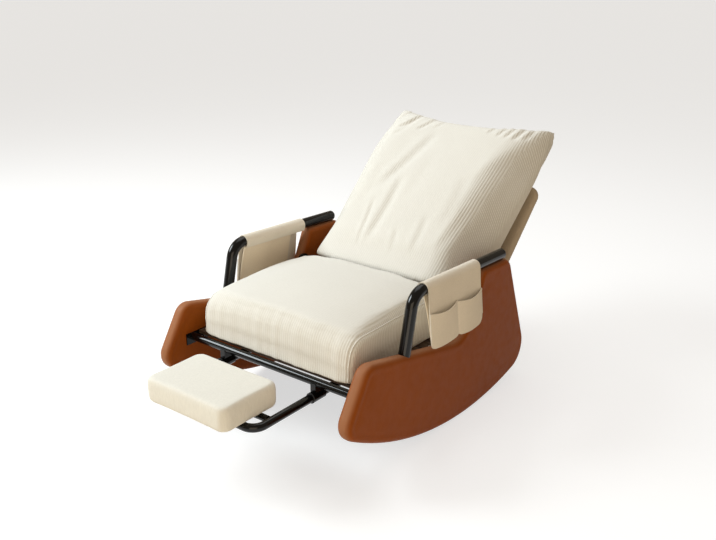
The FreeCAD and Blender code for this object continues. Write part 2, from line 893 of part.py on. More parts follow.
def back_frame():
    """A lower bar between the arms, and a bent tube that stands on it."""
    low = on_back(s.back_low, s.frame_offset)
    node("back_lower_bar", rod("back_lower", s.back_tube_radius, arm_plate_inner * 2,
                               (-arm_plate_inner, low[0], low[1]), X_AXIS, s.back_tube_wall))
    start = s.back_low + s.back_tube_radius + s.slip_gap
    corners = [
        (back_leg_half, start),
        (back_leg_half, s.back_top),
        (-back_leg_half, s.back_top),
        (-back_leg_half, start),
    ]
    body, ring = pipe("back_tube", "XY_Plane", corners, s.back_bend,
                      s.back_tube_radius, s.back_tube_wall, "XZ_Plane")
    bind(ring, "AttachmentOffset.Base.z", -start)
    origin = on_back(ZERO, s.frame_offset)
    tilt(body, (ZERO, origin[0], origin[1]), 90 - s.back_lean)
    node("back_frame", body)


def back_straps():
    """Elastic straps across the front of the back frame."""
    count = int(s.strap_count.number)
    first = s.back_low + s.strap_width
    last = s.back_top - s.back_bend - s.strap_width / 2
    half = back_leg_half + s.strap_overhang
    out = s.frame_offset + s.back_tube_radius + s.slip_gap
    straps = []
    for i in range(count):
        along = first + (last - first) * (i / (count - 1))
        strap = box(f"strap_{i}", (-half, ZERO, ZERO), (half, s.strap_width, s.strap_thick))
        corner = on_back(along - s.strap_width / 2, out)
        tilt(strap, (-half, corner[0], corner[1]), 90 - s.back_lean)
        straps.append(strap)
    node("back_straps", group("straps", straps))


def back_shell():
    """The padded board behind the frame, with round upper corners."""
    body = new_body("back_board")
    outline = new_sketch(body, "XY_Plane")
    corners = [
        (-shell_half, s.shell_low),
        (shell_half, s.shell_low),
        (shell_half, s.shell_top),
        (-shell_half, s.shell_top),
    ]
    draw_outline(outline, corners, [s.shell_low_corner, s.shell_low_corner, s.shell_corner, s.shell_corner])
    pad(body, outline, s.shell_thick)
    doc.recompute()
    blank = body.Tip
    faces = [
        f"Face{i + 1}" for i, face in enumerate(blank.Shape.Faces)
        if abs(abs(face.normalAt(0, 0).z) - 1) < 1e-6
    ]
    rim = body.newObject("PartDesign::Fillet", "back_board_rim")
    rim.Base = (blank, faces)
    bind(rim, "Radius", s.shell_rim)
    out = s.frame_offset - s.back_tube_radius - s.slip_gap - s.shell_thick
    origin = on_back(ZERO, out)
    tilt(body, (ZERO, origin[0], origin[1]), 90 - s.back_lean)
    node("back_panel", body)


# Soft forms, as lofts through closed loops of arcs and lines

def loop(points, rounds, crowns):
    """A closed loop: rounded corners joined by sides that swell by their crown.

    points are (a, b) in numbers, anticlockwise; crowns[i] is the swell of side i to i + 1.
    """
    count = len(points)
    starts, ends, middles = [], [], []
    for i, point in enumerate(points):
        before, after = points[i - 1], points[(i + 1) % count]
        to_before = unit(before, point)
        to_after = unit(after, point)
        half = math.acos(max(-1, min(1, to_before[0] * to_after[0] + to_before[1] * to_after[1]))) / 2
        reach = rounds[i] / math.tan(half)
        starts.append((point[0] + to_before[0] * reach, point[1] + to_before[1] * reach))
        ends.append((point[0] + to_after[0] * reach, point[1] + to_after[1] * reach))
        middle = unit((to_before[0] + to_after[0], to_before[1] + to_after[1]), (0, 0))
        depth = rounds[i] / math.sin(half) - rounds[i]
        middles.append((point[0] + middle[0] * depth, point[1] + middle[1] * depth))
    pieces = []
    for i in range(count):
        pieces.append((starts[i], middles[i], ends[i]))
        a, b = ends[i], starts[(i + 1) % count]
        swell = unit((b[1] - a[1], a[0] - b[0]), (0, 0))
        bulge = crowns[i]
        peak = ((a[0] + b[0]) / 2 + swell[0] * bulge, (a[1] + b[1]) / 2 + swell[1] * bulge)
        pieces.append((a, peak if abs(bulge) > s.slip_gap.number else None, b))
    return pieces


def unit(end, start):
    dx, dy = end[0] - start[0], end[1] - start[1]
    length = math.hypot(dx, dy)
    return (dx / length, dy / length)


def wire(pieces, to_space):
    edges = []
    for start, middle, end in pieces:
        if middle is None:
            edges.append(Part.LineSegment(to_space(start), to_space(end)).toShape())
        else:
            edges.append(Part.Arc(to_space(start), to_space(middle), to_space(end)).toShape())
    return Part.Wire(edges)


def soft_solid(label, wires):
    feature = doc.addObject("Part::Feature", label)
    shape = Part.makeLoft(wires, True, False)
    if shape.Volume < 0:
        shape.reverse()
    feature.Shape = shape
    return feature


def across_shares():
    """Sections from side to side: shares of the half width, the crown, the rim's pull-in and the ears."""
    steps = 5
    for step in range(-steps, steps + 1):
        angle = math.pi / 2 * step / steps
        level = math.cos(angle)
        yield math.sin(angle), level, (1 - level) ** 2, -math.cos(angle * 2)


def seat_cushion():
    """Crowned, with a round front edge and sides that draw in."""
    half = seat_half.number
    front, rear = at(s.seat_front_station).number, at(s.seat_rear_station).number
    base, side = seat_base.number + s.seat_gap.number, s.seat_side_height.number
    crown = s.seat_crown.number
    thick = side - base
    low_round = thick * s.seat_low_round_share.number
    pull = low_round / 3
    wires = []
    for share, crown_share, rim_share, _ in across_shares():
        inward = pull * rim_share
        low = base + inward
        front_top = side + crown * crown_share * s.seat_front_crown_share.number - inward
        rear_top = side + crown * crown_share * s.seat_rear_crown_share.number - inward
        points = [
            (front + inward, low), (rear - inward, low),
            (rear - inward, rear_top), (front + inward, front_top),
        ]
        rounds = [low_round, thick * s.seat_rear_low_round_share.number,
                  thick * s.seat_rear_round_share.number, thick * s.seat_front_round_share.number]
        crowns = [0, 0, crown * crown_share / 2, s.pad_crown.number]
        x = half * share
        wires.append(wire(loop(points, rounds, crowns), lambda p, x=x: Vector(x, p[0], p[1])))
    node("seat_cushion", cut("seat_hollow", soft_solid("seat_loft", wires), back_foot_room()))


def back_foot_room():
    """The room that the foot of the back cushion turns in: round the hinge, and behind its raised face."""
    reach = root(s.cushion_front_low * s.cushion_front_low + s.cushion_foot_front * s.cushion_foot_front)
    reach = reach + s.seat_back_room
    half = seat_half + s.overrun
    hinge = (-half, at(s.hinge_station), s.hinge_height)
    barrel = rod("foot_barrel", reach, half * 2, hinge, X_AXIS)
    raised = box("foot_raised", (-half, ZERO, ZERO), (half, reach * 2, reach))
    taper = angle_of(s.cushion_front_low - s.cushion_front_high, s.cushion_top - s.cushion_foot_front)
    tilt(raised, hinge, 90 - s.back_lean + s.back_travel - taper)
    return together("foot_room", [barrel, raised])


def back_cushion():
    """A wedge, thick at its foot, with ears at its upper corners and a top edge that sags between them.

    It is narrowest at the rear of its foot, and widens towards its top and its front.
    """
    spread = s.cushion_top_spread.number / s.cushion_top.number
    pull = s.cushion_top_round.number / 3
    fall = s.cushion_front_low.number - s.cushion_front_high.number
    taper = fall / (s.cushion_top.number - s.cushion_foot_front.number)
    wires = []
    for share, crown_share, rim_share, ear_share in across_shares():
        inward = pull * rim_share
        top = s.cushion_top.number + s.cushion_ear.number * (ear_share - 1)
        front = s.cushion_front_crown.number * crown_share
        lift = s.cushion_foot_lift.number * rim_share
        front_low = s.cushion_front_low.number - taper * lift
        points = [
            (s.cushion_foot_rear.number + lift, s.cushion_seam.number + inward / 2),
            (top, s.cushion_seam.number + inward / 2),
            (top, s.cushion_front_high.number + front / 2 - inward),
            (s.cushion_foot_front.number + lift, front_low - inward),
        ]
        rounds = [s.cushion_foot_rear_round.number, s.cushion_top_round.number,
                  s.cushion_top_round.number, s.cushion_foot_front_round.number]
        crowns = [s.cushion_rear_crown.number * crown_share, s.pad_crown.number,
                  front, s.pad_crown.number]

        def to_space(p, share=share):
            y, z = on_back(as_size(p[0]), as_size(p[1]))
            wider = p[0] * spread + (p[1] - s.cushion_seam.number) * s.cushion_front_spread_share.number
            return Vector((cushion_foot_half.number + wider) * share, y.number, z.number)

        wires.append(wire(loop(points, rounds, crowns), to_space))
    node("back_cushion", soft_solid("back_loft", wires))


# Footrest

def footrest_frame():
    y_rear = at(s.leg_rear_station)
    corners = [
        (s.leg_half, y_rear),
        (s.leg_half, at(s.base_station)),
        (-s.leg_half, at(s.base_station)),
        (-s.leg_half, y_rear),
    ]
    body, ring = pipe("leg_frame", "XY_Plane", corners, s.leg_bend, s.leg_radius, s.leg_wall, "XZ_Plane")
    bind(ring, "AttachmentOffset.Base.z", -y_rear)
    bind(body, "Placement.Base.z", leg_height)
    node("footrest_frame", body)
    half = s.leg_half - s.leg_radius - s.slip_gap
    node("footrest_pivot_bar", rod("pivot_bar", s.flip_radius, half * 2,
                                   (-half, at(s.flip_station), leg_height), X_AXIS, s.leg_wall))
    rings = []
    for side in (-1, 1):
        rings.append(rod(f"leg_stop_{side + 1}", s.leg_radius + s.stop_wall, s.stop_length,
                         (s.leg_half * side, y_rear - s.stop_length, leg_height), Y_AXIS,
                         s.stop_wall - s.slip_gap))
    node("footrest_stops", group("leg_stops", rings))


def footrest_guides():
    """Steel sleeves hung from the crossbars, each with a nylon bush that the legs slide in."""
    saddle = rod("saddle_bore", s.bar_radius + s.slip_gap, rail_inner * 2,
                 (-rail_inner, at(s.front_bar_station), s.bar_height), X_AXIS)
    guides = []
    bushes = []
    # Each guide ends where the stop on the leg meets its bush
    middle_guide = s.leg_rear_station - s.stop_length - s.seat_gap - s.bush_lip - s.guide_length
    for i, start in enumerate((s.front_bar_station - s.guide_length / 2, middle_guide)):
        for side in (-1, 1):
            name = f"{i}_{side + 1}"
            base = (s.leg_half * side, at(start), leg_height)
            sleeve = rod("guide_" + name, guide_radius, s.guide_length, base, Y_AXIS, s.guide_wall)
            guides.append(sleeve if i else hung_guide("hanger_" + name, sleeve, s.leg_half * side, saddle))
            bushes.append(guide_bush("bush_" + name, s.leg_half * side, start))
    node("footrest_guides", group("guides", guides))
    node("guide_bushes", group("bushes", bushes))


def hung_guide(label, sleeve, x, saddle):
    """A sleeve with a block above it that is hollowed to sit under the front crossbar."""
    y = at(s.front_bar_station)
    half = s.hanger_deep / 2
    block = box(label + "_block", (x - s.hanger_half, y - half, leg_height + guide_bore),
                (x + s.hanger_half, y + half, s.bar_height))
    return together(label, [sleeve, cut(label + "_saddle", block, saddle)])


def guide_bush(label, x, start):
    """A sleeve bearing with a lip at each end."""
    inner = s.leg_radius + s.slip_gap
    sleeve = rod(label + "_sleeve", inner + s.bush_wall, s.guide_length, (x, at(start), leg_height), Y_AXIS)
    lips = [
        rod(f"{label}_lip_{i}", guide_radius, s.bush_lip, (x, at(edge), leg_height), Y_AXIS)
        for i, edge in enumerate((start - s.bush_lip, start + s.guide_length))
    ]
    bore = rod(label + "_bore", inner, s.guide_length + s.overrun * 2,
               (x, at(start - s.overrun), leg_height), Y_AXIS)
    return cut(label, together(label + "_body", [sleeve] + lips), bore)


def footrest_pad():
    """A thin board on two clips that turn on the pivot bar, let into the padded block's underside."""
    node("footrest_board", pad_board("pad_board", s.board_margin, board_base))
    clips = []
    for side in (-1, 1):
        clips.append(pad_clip(f"clip_{side + 1}", s.clip_half * side))
    node("pad_clips", group("clips", clips))
    recess = pad_board("pad_recess", s.board_margin - s.bore_gap, board_base - s.overrun)
    node("footrest_cushion", cut("pad_block", upholstered_block(), recess))


def pad_board(label, margin, low):
    front, rear = at(s.pad_front_station), at(s.pad_rear_station)
    return box(label, (margin - s.pad_half, front + margin, low),
               (s.pad_half - margin, rear - margin, board_base + s.board_thick))


def pad_clip(label, x):
    """A nylon block with a bore that turns on the pivot bar."""
    body = new_body(label)
    outline = new_sketch(body, "YZ_Plane", x)
    y = at(s.flip_station)
    half = s.clip_deep / 2
    corners = [
        (y - half, leg_height - half), (y + half, leg_height - half),
        (y + half, board_base - s.slip_gap), (y - half, board_base - s.slip_gap),
    ]
    low_round = half * s.clip_round_share
    draw_outline(outline, corners, [low_round, low_round, s.plate_thick / 2, s.plate_thick / 2])
    pad(body, outline, s.clip_width, both_ways=True)
    hole = new_sketch(body, "YZ_Plane", x)
    draw_circle(hole, (y, leg_height), s.flip_radius + s.slip_gap)
    pocket(body, hole, s.clip_width * 2)
    return body


def upholstered_block():
    half = s.pad_half.number
    front, rear = at(s.pad_front_station).number, at(s.pad_rear_station).number
    low, high = board_base.number, board_base.number + s.pad_thick.number
    radius = s.pad_round.number
    crown = s.pad_crown.number
    wires = []
    for level_share, pull_share in PAD_EDGE_SHARES:
        pull = radius * pull_share
        z = low + (high - low) * level_share
        points = [(-half + pull, front + pull), (half - pull, front + pull),
                  (half - pull, rear - pull), (-half + pull, rear - pull)]
        shape = loop(points, [radius] * 4, [-crown / 2] * 4)
        wires.append(wire(shape, lambda p, z=z: Vector(p[0], p[1], z)))
    return soft_solid("pad_loft", wires)


# Arm caddies

def arm_height(station):
    """Height of the arm tube's axis over a station."""
    fall = (station - s.arm_corner_station) * sine(s.arm_drop) / cosine(s.arm_drop)
    return s.arm_corner_height - fall


def caddy_section(grow, outer_drop, inner_drop):
    """Half sections of a cloth that hangs over the tube: (across, up) down both sides."""
    radius = s.arm_radius.number + s.seat_gap.number + grow
    flare = s.caddy_flare.number
    return [
        ((radius + flare, -outer_drop), None, (radius, 0)),
        ((radius, 0), (0, radius), (-radius, 0)),
        ((-radius, 0), None, (-radius - s.caddy_inner_flare.number, -inner_drop)),
    ]


def sloped(shape):
    """Turn a caddy's shape about the middle of its length, to the slope of the tube."""
    middle = s.caddy_front_station + s.caddy_length / 2
    shape.rotate(Vector(0, at(middle).number, arm_height(middle).number), X_AXIS, -s.arm_drop.number)
    return shape


def arm_caddies():
    """A canvas sleeve over each arm, its outer flap long, its inner flap shorter and narrower."""
    cloth = s.caddy_cloth.number
    outer_drop, inner_drop = s.caddy_outer_drop.number, s.caddy_inner_drop.number
    outside = caddy_section(cloth, outer_drop, inner_drop)
    inside = caddy_section(0, outer_drop, inner_drop)
    start = s.caddy_front_station
    height = arm_height(start + s.caddy_length / 2).number
    y = at(start).number

    def to_space(p):
        return Vector(panel_middle.number + p[0], y, height + p[1])

    back_way = [(end, middle, begin) for begin, middle, end in reversed(inside)]
    join = [(outside[-1][2], None, inside[-1][2])]
    close = [(inside[0][0], None, outside[0][0])]
    band = wire(outside + join + back_way + close, to_space)
    solid = Part.Face(band).extrude(Vector(0, s.caddy_length.number, 0))
    corners = [
        edge for edge in solid.Edges
        if edge.Length < cloth * 2 and min(v.Z for v in edge.Vertexes) < height - inner_drop / 2
        and abs(edge.Vertexes[0].Z - edge.Vertexes[1].Z) < cloth / 2
        and edge.Vertexes[0].X > panel_middle.number
    ]
    rounded = solid.makeFillet(s.caddy_corner.number, corners)
    inset, sleeve = s.caddy_inner_inset.number, s.arm_radius.number + s.caddy_sleeve_depth.number
    beside = Part.makeBox(s.arm_radius.number * 2, inset, inner_drop * 2,
                          Vector(panel_middle.number - s.arm_radius.number * 3,
                                 y + s.caddy_length.number - inset, height - sleeve - inner_drop * 2))
    feature = doc.addObject("Part::Feature", "caddy")
    feature.Shape = sloped(rounded.cut(beside))
    right = node("arm_caddy_right", feature)
    node("arm_caddy_left", mirrored("caddy_mirror", right))


def caddy_pockets():
    """Two pockets side by side on the outer flap, their mouths standing open."""
    cloth = s.pocket_cloth.number
    flap = s.arm_radius.number + s.seat_gap.number + s.caddy_cloth.number
    flare = s.caddy_flare.number
    drop = s.caddy_outer_drop.number
    length = s.caddy_length.number - s.pocket_margin.number * 2
    height = arm_height(s.caddy_front_station + s.caddy_length / 2).number
    start = at(s.caddy_front_station).number + s.pocket_margin.number
    gap = s.seat_gap.number

    def place_at(along, out, down):
        share = down / drop
        x = panel_middle.number + flap + flare * share + gap + out
        return Vector(x, start + along, height - down)

    def band(down, gape, wall):
        """A closed band in plan: flat against the flap at its ends and middle, bowed between."""
        half = length / 2
        rows = []
        for low, high in ((0, half), (half, length)):
            rows.append((low, (low + high) / 2, high))
        outer, inner = [], []
        for low, middle, high in rows:
            outer.append(Part.Arc(place_at(low, wall, down), place_at(middle, gape + wall, down),
                                  place_at(high, wall, down)).toShape())
        for low, middle, high in reversed(rows):
            if gape:
                inner.append(Part.Arc(place_at(high, 0, down), place_at(middle, gape, down),
                                      place_at(low, 0, down)).toShape())
        ends = [Part.LineSegment(place_at(length, wall, down), place_at(length, 0, down)).toShape(),
                Part.LineSegment(place_at(0, 0, down), place_at(0, wall, down)).toShape()]
        return Part.Wire([*outer, ends[0], *inner, ends[1]])

    mouth = drop - s.pocket_hem.number - s.pocket_height.number
    foot = drop - s.pocket_hem.number
    bands = [
        band(foot, s.pocket_foot_gape.number, cloth),
        band((mouth + foot) / 2, s.pocket_middle_gape.number, cloth),
        band(mouth, s.pocket_gape.number, cloth),
    ]
    shell = Part.makeLoft(bands, True, False)
    floor_edge = [place_at(0, 0, foot), place_at(length, 0, foot),
                  place_at(length, cloth, foot), place_at(0, cloth, foot)]
    floor = Part.Face(Part.makePolygon(floor_edge + floor_edge[:1])).extrude(Vector(0, 0, -cloth))
    feature = doc.addObject("Part::Feature", "pockets")
    feature.Shape = sloped(shell.fuse(floor).removeSplitter())
    right = node("caddy_pockets_right", feature)
    node("caddy_pockets_left", mirrored("pockets_mirror", right))


# Build

rocker_panels()
arm_tubes()
ledge_height = seat_rails()
crossbars()
screws = seat_slats(ledge_height)
node("slat_screws", group("screws", screws))
frame_bolts()
hinge_plates()
hinge_pins()
recline_arms()
back_frame()
back_straps()
back_shell()
seat_cushion()
back_cushion()
footrest_frame()
footrest_guides()
footrest_pad()
arm_caddies()
caddy_pockets()
doc.recompute()


# Check and write

for item in doc.Objects:
    if any(word in item.State for word in ("Invalid", "Error")):
        raise RuntimeError(f"{item.Label} failed: {item.State}")
os.makedirs("parts", exist_ok=True)
for item in nodes:
    shape = item.Shape
    if shape.isNull() or not shape.isValid() or not shape.Solids:
        raise RuntimeError(f"{item.Label} has no sound solid")
for item in nodes:
    item.Shape.exportStep(f"parts/{item.Label}.step")
    print(f"{item.Label}: {len(item.Shape.Solids)} solids, {item.Shape.Volume / 1000:.1f} cm3")
print(f"origin at station {origin_station.number:.2f}")
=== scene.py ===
"""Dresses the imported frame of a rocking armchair: leather sides, cushions, caddies and finishes."""

import math
from contextlib import contextmanager

import bpy
import numpy as np
from bpy.props import FloatProperty, FloatVectorProperty, PointerProperty
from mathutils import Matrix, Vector
from mathutils.bvhtree import BVHTree
from mathutils.kdtree import KDTree


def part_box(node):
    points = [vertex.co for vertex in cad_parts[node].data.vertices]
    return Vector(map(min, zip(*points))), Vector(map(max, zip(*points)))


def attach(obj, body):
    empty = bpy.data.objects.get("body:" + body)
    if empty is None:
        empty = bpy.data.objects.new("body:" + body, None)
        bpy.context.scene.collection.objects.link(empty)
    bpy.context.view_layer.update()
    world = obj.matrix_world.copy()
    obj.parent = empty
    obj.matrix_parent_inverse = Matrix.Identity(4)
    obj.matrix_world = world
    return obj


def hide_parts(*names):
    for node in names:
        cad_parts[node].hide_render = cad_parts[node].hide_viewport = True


bl_info = {
    "name": "Rocking Armchair",
    "version": (1, 0, 0),
    "blender": (4, 5, 0),
    "location": "View3D > Sidebar > Armchair",
    "description": "Makes the leather, cushions, caddies and finishes of a rocking armchair",
    "category": "Object",
}

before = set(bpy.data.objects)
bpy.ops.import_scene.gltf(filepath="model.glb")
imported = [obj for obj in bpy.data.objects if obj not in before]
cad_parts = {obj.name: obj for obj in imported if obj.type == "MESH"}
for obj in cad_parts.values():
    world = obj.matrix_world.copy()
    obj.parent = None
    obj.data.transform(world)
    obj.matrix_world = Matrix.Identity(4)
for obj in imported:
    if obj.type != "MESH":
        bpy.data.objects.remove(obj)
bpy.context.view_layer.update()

MM = 0.001

# Which finish each bare node of the frame takes
FINISHES = {
    "gloss_black": [
        "arm_tube_right", "arm_tube_left", "front_crossbar", "rear_crossbar", "middle_crossbar",
        "seat_rail_right", "seat_rail_left", "hinge_plate_right", "hinge_plate_left",
        "recline_arm_right", "recline_arm_left", "back_lower_bar", "back_frame",
        "footrest_frame", "footrest_pivot_bar", "footrest_guides", "footrest_stops",
    ],
    "black_plastic": ["arm_tube_plugs", "pad_clips", "guide_bushes"],
    "zinc_steel": ["frame_bolts", "slat_screws", "hinge_pins"],
    "slat_wood": ["seat_slats"],
    "plywood": ["rocker_board_right", "rocker_board_left", "footrest_board"],
}


# Sizes and colours that a user would change

class ChairSizes(bpy.types.PropertyGroup):
    """Sizes of the soft work, in metres."""

    rib_pitch: FloatProperty(
        name="Rib pitch", description="Distance from one rib of the cushion cloth to the next",
        default=0.0078, min=0.002, max=0.02, unit="LENGTH",
    )
    seam_inset: FloatProperty(
        name="Seam inset", description="Distance of a cushion's side seam from its side",
        default=0.012, min=0.0, max=0.03, unit="LENGTH",
    )
    welt_radius: FloatProperty(
        name="Welt radius", description="Radius of the welt in a cushion's seam",
        default=0.0021, min=0.0005, max=0.006, unit="LENGTH",
    )
    swell_cap: FloatProperty(
        name="Swell limit", description="Furthest that a cushion's cover may swell",
        default=0.009, min=0.0, max=0.04, unit="LENGTH",
    )
    canvas_thick: FloatProperty(
        name="Canvas thickness", description="Thickness of the caddies' canvas",
        default=0.0024, min=0.0005, max=0.005, unit="LENGTH",
    )


COLOUR = {"subtype": "COLOR", "size": 3, "min": 0, "max": 1}


class ChairColours(bpy.types.PropertyGroup):
    """Base colours of the finishes."""

    cream: FloatVectorProperty(
        name="Cushion cloth", description="Ribbed cloth of the seat and back cushions",
        default=(0.76, 0.75, 0.70), **COLOUR,
    )
    pad: FloatVectorProperty(
        name="Footrest cloth", description="Plain cloth of the footrest cushion",
        default=(0.78, 0.77, 0.71), **COLOUR,
    )
    canvas: FloatVectorProperty(
        name="Canvas", description="Canvas of the arm caddies",
        default=(0.775, 0.715, 0.61), **COLOUR,
    )
    # Painted light: the lining is warmer and lighter than the canvas, for the light that shines through the
    # thin cloth
    lining: FloatVectorProperty(
        name="Lining", description="Inner cloth of the arm caddies",
        default=(0.87, 0.755, 0.58), **COLOUR,
    )
    leather: FloatVectorProperty(
        name="Leather", description="Leather of the rocker sides",
        default=(0.255, 0.060, 0.006), **COLOUR,
    )
    panel: FloatVectorProperty(
        name="Back panel", description="Cloth of the panel behind the back cushion",
        default=(0.49, 0.40, 0.295), **COLOUR,
    )
    black: FloatVectorProperty(
        name="Black enamel", description="Enamel of the steel tubes",
        default=(0.002, 0.002, 0.0022), **COLOUR,
    )


def sizes():
    return bpy.context.scene.chair_sizes


def colours():
    return bpy.context.scene.chair_colours


# Selecting and shaping

def deselect():
    bpy.ops.object.select_all(action="DESELECT")


def pick(piece):
    """Make one object the only selected and active one."""
    deselect()
    piece.hide_set(False)
    piece.select_set(True)
    bpy.context.view_layer.objects.active = piece


def apply_modifiers(piece):
    pick(piece)
    for modifier in list(piece.modifiers):
        bpy.ops.object.modifier_apply(modifier=modifier.name)


def points_of(piece):
    points = np.empty(len(piece.data.vertices) * 3)
    piece.data.vertices.foreach_get("co", points)
    return points.reshape(-1, 3)


def normals_of(piece):
    normals = np.empty(len(piece.data.vertices) * 3)
    piece.data.vertices.foreach_get("normal", normals)
    return normals.reshape(-1, 3)


def put_points(piece, points):
    piece.data.vertices.foreach_set("co", points.ravel())
    piece.data.update()


def smooth(piece):
    """Shade a piece smooth, with its sharp edges kept."""
    pick(piece)
    bpy.ops.object.shade_smooth_by_angle(angle=math.radians(50))


@contextmanager
def editing(piece):
    """Edit mode on one piece, with all of it selected."""
    pick(piece)
    bpy.ops.object.mode_set(mode="EDIT")
    bpy.ops.mesh.select_all(action="SELECT")
    yield
    bpy.ops.object.mode_set(mode="OBJECT")


def mark_faces(piece, mask):
    """Go to edit mode with just the masked faces selected."""
    pick(piece)
    bpy.ops.object.mode_set(mode="EDIT")
    bpy.ops.mesh.select_mode(type="FACE")
    bpy.ops.mesh.select_all(action="DESELECT")
    bpy.ops.object.mode_set(mode="OBJECT")
    piece.data.polygons.foreach_set("select", np.asarray(mask, dtype=bool))
    bpy.ops.object.mode_set(mode="EDIT")


def copy_of(node, name):
    """A copy of a node's mesh as a new piece, its loose triangles joined."""
    piece = bpy.data.objects.new(name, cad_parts[node].data.copy())
    bpy.context.scene.collection.objects.link(piece)
    piece.data.materials.clear()
    with editing(piece):
        bpy.ops.mesh.remove_doubles(threshold=0.02 * MM)
        bpy.ops.mesh.normals_make_consistent(inside=False)
    return piece


def modify(piece, name, kind, **settings):
    """Add a modifier with its settings and apply it."""
    modifier = piece.modifiers.new(name, kind)
    for key, value in settings.items():
        setattr(modifier, key, value)
    apply_modifiers(piece)


def remesh(piece, voxel):
    modify(piece, "even_mesh", "REMESH", mode="VOXEL", voxel_size=voxel, use_smooth_shade=True)


def relax(piece, rounds):
    modify(piece, "relaxed", "SMOOTH", factor=0.5, iterations=rounds)


def subdivide(piece):
    modify(piece, "finer", "SUBSURF", levels=1, render_levels=1)


def shrink(piece, depth):
    """Move a piece's skin inwards."""
    with editing(piece):
        bpy.ops.transform.shrink_fatten(value=-depth)


# A cushion's cover as it swells: its cloth, its steps, and how much of a dent or a slide it keeps
COVER_PRESSURE = 4.0
COVER_STIFFNESS = 15.0
SWELL_STEPS = 20
SPREAD_ROUNDS = 40
DENT_SHARE = 0.3
SLIDE_SHARE = 0.15


def swell(piece, taken=1.0):
    """Blow the cover up as cloth, hold how far each point rises and slides, and keep the share taken."""
    cap = sizes().swell_cap
    start, out = points_of(piece), normals_of(piece)
    modifier = piece.modifiers.new("cover", "CLOTH")
    settings = modifier.settings
    settings.use_pressure = True
    settings.uniform_pressure_force = COVER_PRESSURE
    settings.tension_stiffness = settings.compression_stiffness = COVER_STIFFNESS
    settings.shear_stiffness = COVER_STIFFNESS / 2
    settings.bending_stiffness = 0.4
    settings.quality = 5
    settings.effector_weights.gravity = 0
    modifier.collision_settings.use_collision = False
    modifier.point_cache.frame_start = 1
    modifier.point_cache.frame_end = SWELL_STEPS
    scene = bpy.context.scene
    for step in range(1, SWELL_STEPS + 1):
        scene.frame_set(step)
    apply_modifiers(piece)
    scene.frame_set(1)
    moved = spread(piece, points_of(piece) - start, SPREAD_ROUNDS) * taken
    rise = (moved * out).sum(axis=1, keepdims=True)
    slide = moved - rise * out
    length = np.linalg.norm(slide, axis=1, keepdims=True)
    rise = np.where(rise > 0, cap * np.tanh(rise / cap), rise * DENT_SHARE)
    held = np.minimum(1, SLIDE_SHARE * cap / np.maximum(length, 1e-9))
    put_points(piece, start + rise * out + slide * held)


def spread(piece, moved, rounds):
    """Even a movement out over each point's neighbours, so that the cover swells without ripples."""
    ends = np.empty(len(piece.data.edges) * 2, dtype=np.int64)
    piece.data.edges.foreach_get("vertices", ends)
    one, two = ends.reshape(-1, 2).T
    count = 1.0 + np.bincount(one, minlength=len(moved)) + np.bincount(two, minlength=len(moved))
    for _ in range(rounds):
        total = moved.copy()
        for axis in range(3):
            total[:, axis] += np.bincount(one, moved[two, axis], len(moved))
            total[:, axis] += np.bincount(two, moved[one, axis], len(moved))
        moved = total / count[:, None]
    return moved


def ease(low, high, values):
    """0 below low, 1 above high, and a smooth rise between them."""
    share = np.clip((values - low) / (high - low), 0, 1)
    return share * share * (3 - 2 * share)


def bell(away, width):
    """1 in the middle, falling to nothing a few widths away."""
    return np.exp(-(away / width) ** 2)


def settle(piece, name, body, nodes, material):
    """Name a finished piece, give it its material, tie it to its body and hide the nodes that it replaces."""
    piece.name = name
    piece.data.name = name
    piece.data.materials.clear()
    piece.data.materials.append(material)
    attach(piece, body)
    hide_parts(*nodes)


# Shader groups

def new_group(name, inputs, outputs):
    tree = bpy.data.node_groups.new(name, "ShaderNodeTree")
    for label, kind, value in inputs:
        socket = tree.interface.new_socket(label, in_out="INPUT", socket_type="NodeSocket" + kind)
        if value is not None:
            socket.default_value = value
    for label, kind in outputs:
        tree.interface.new_socket(label, in_out="OUTPUT", socket_type="NodeSocket" + kind)
    source = tree.nodes.new("NodeGroupInput")
    target = tree.nodes.new("NodeGroupOutput")
    return tree, source, target


class Bench:
    """Adds nodes to a tree and joins them in one line each."""

    def __init__(self, tree):
        self.tree = tree

    def node(self, kind, settings=None, **inputs):
        """A new node; its inputs go by name, or by number as i0, i1 and so on."""
        node = self.tree.nodes.new("ShaderNode" + kind)
        for key, value in (settings or {}).items():
            setattr(node, key, value)
        for key, value in inputs.items():
            label = int(key[1:]) if key[0] == "i" and key[1:].isdigit() else key.replace("_", " ")
            self.join(value, node.inputs[label])
        return node

    def join(self, value, socket):
        if isinstance(value, bpy.types.NodeSocket):
            self.tree.links.new(value, socket)
        else:
            socket.default_value = value

    def math(self, operation, a, b=0.0):
        return self.node("Math", {"operation": operation}, i0=a, i1=b).outputs[0]

    def mix(self, share, a, b):
        node = self.node("Mix", {"data_type": "RGBA"}, Factor=share)
        self.join(a, node.inputs[6])
        self.join(b, node.inputs[7])
        return node.outputs[2]

    def noise(self, vector, scale, detail=2.0, rough=0.5):
        return self.node("TexNoise", Vector=vector, Scale=scale, Detail=detail, Roughness=rough).outputs[0]

    def stretched(self, vector, scale):
        return self.node("Mapping", Vector=vector, Scale=scale).outputs[0]

    def ramp(self, value, low, high, at_low, at_high):
        """Turns a value between low and high into one between at_low and at_high, and holds it there."""
        return self.node("MapRange", i0=value, i1=low, i2=high, i3=at_low, i4=at_high).outputs[0]


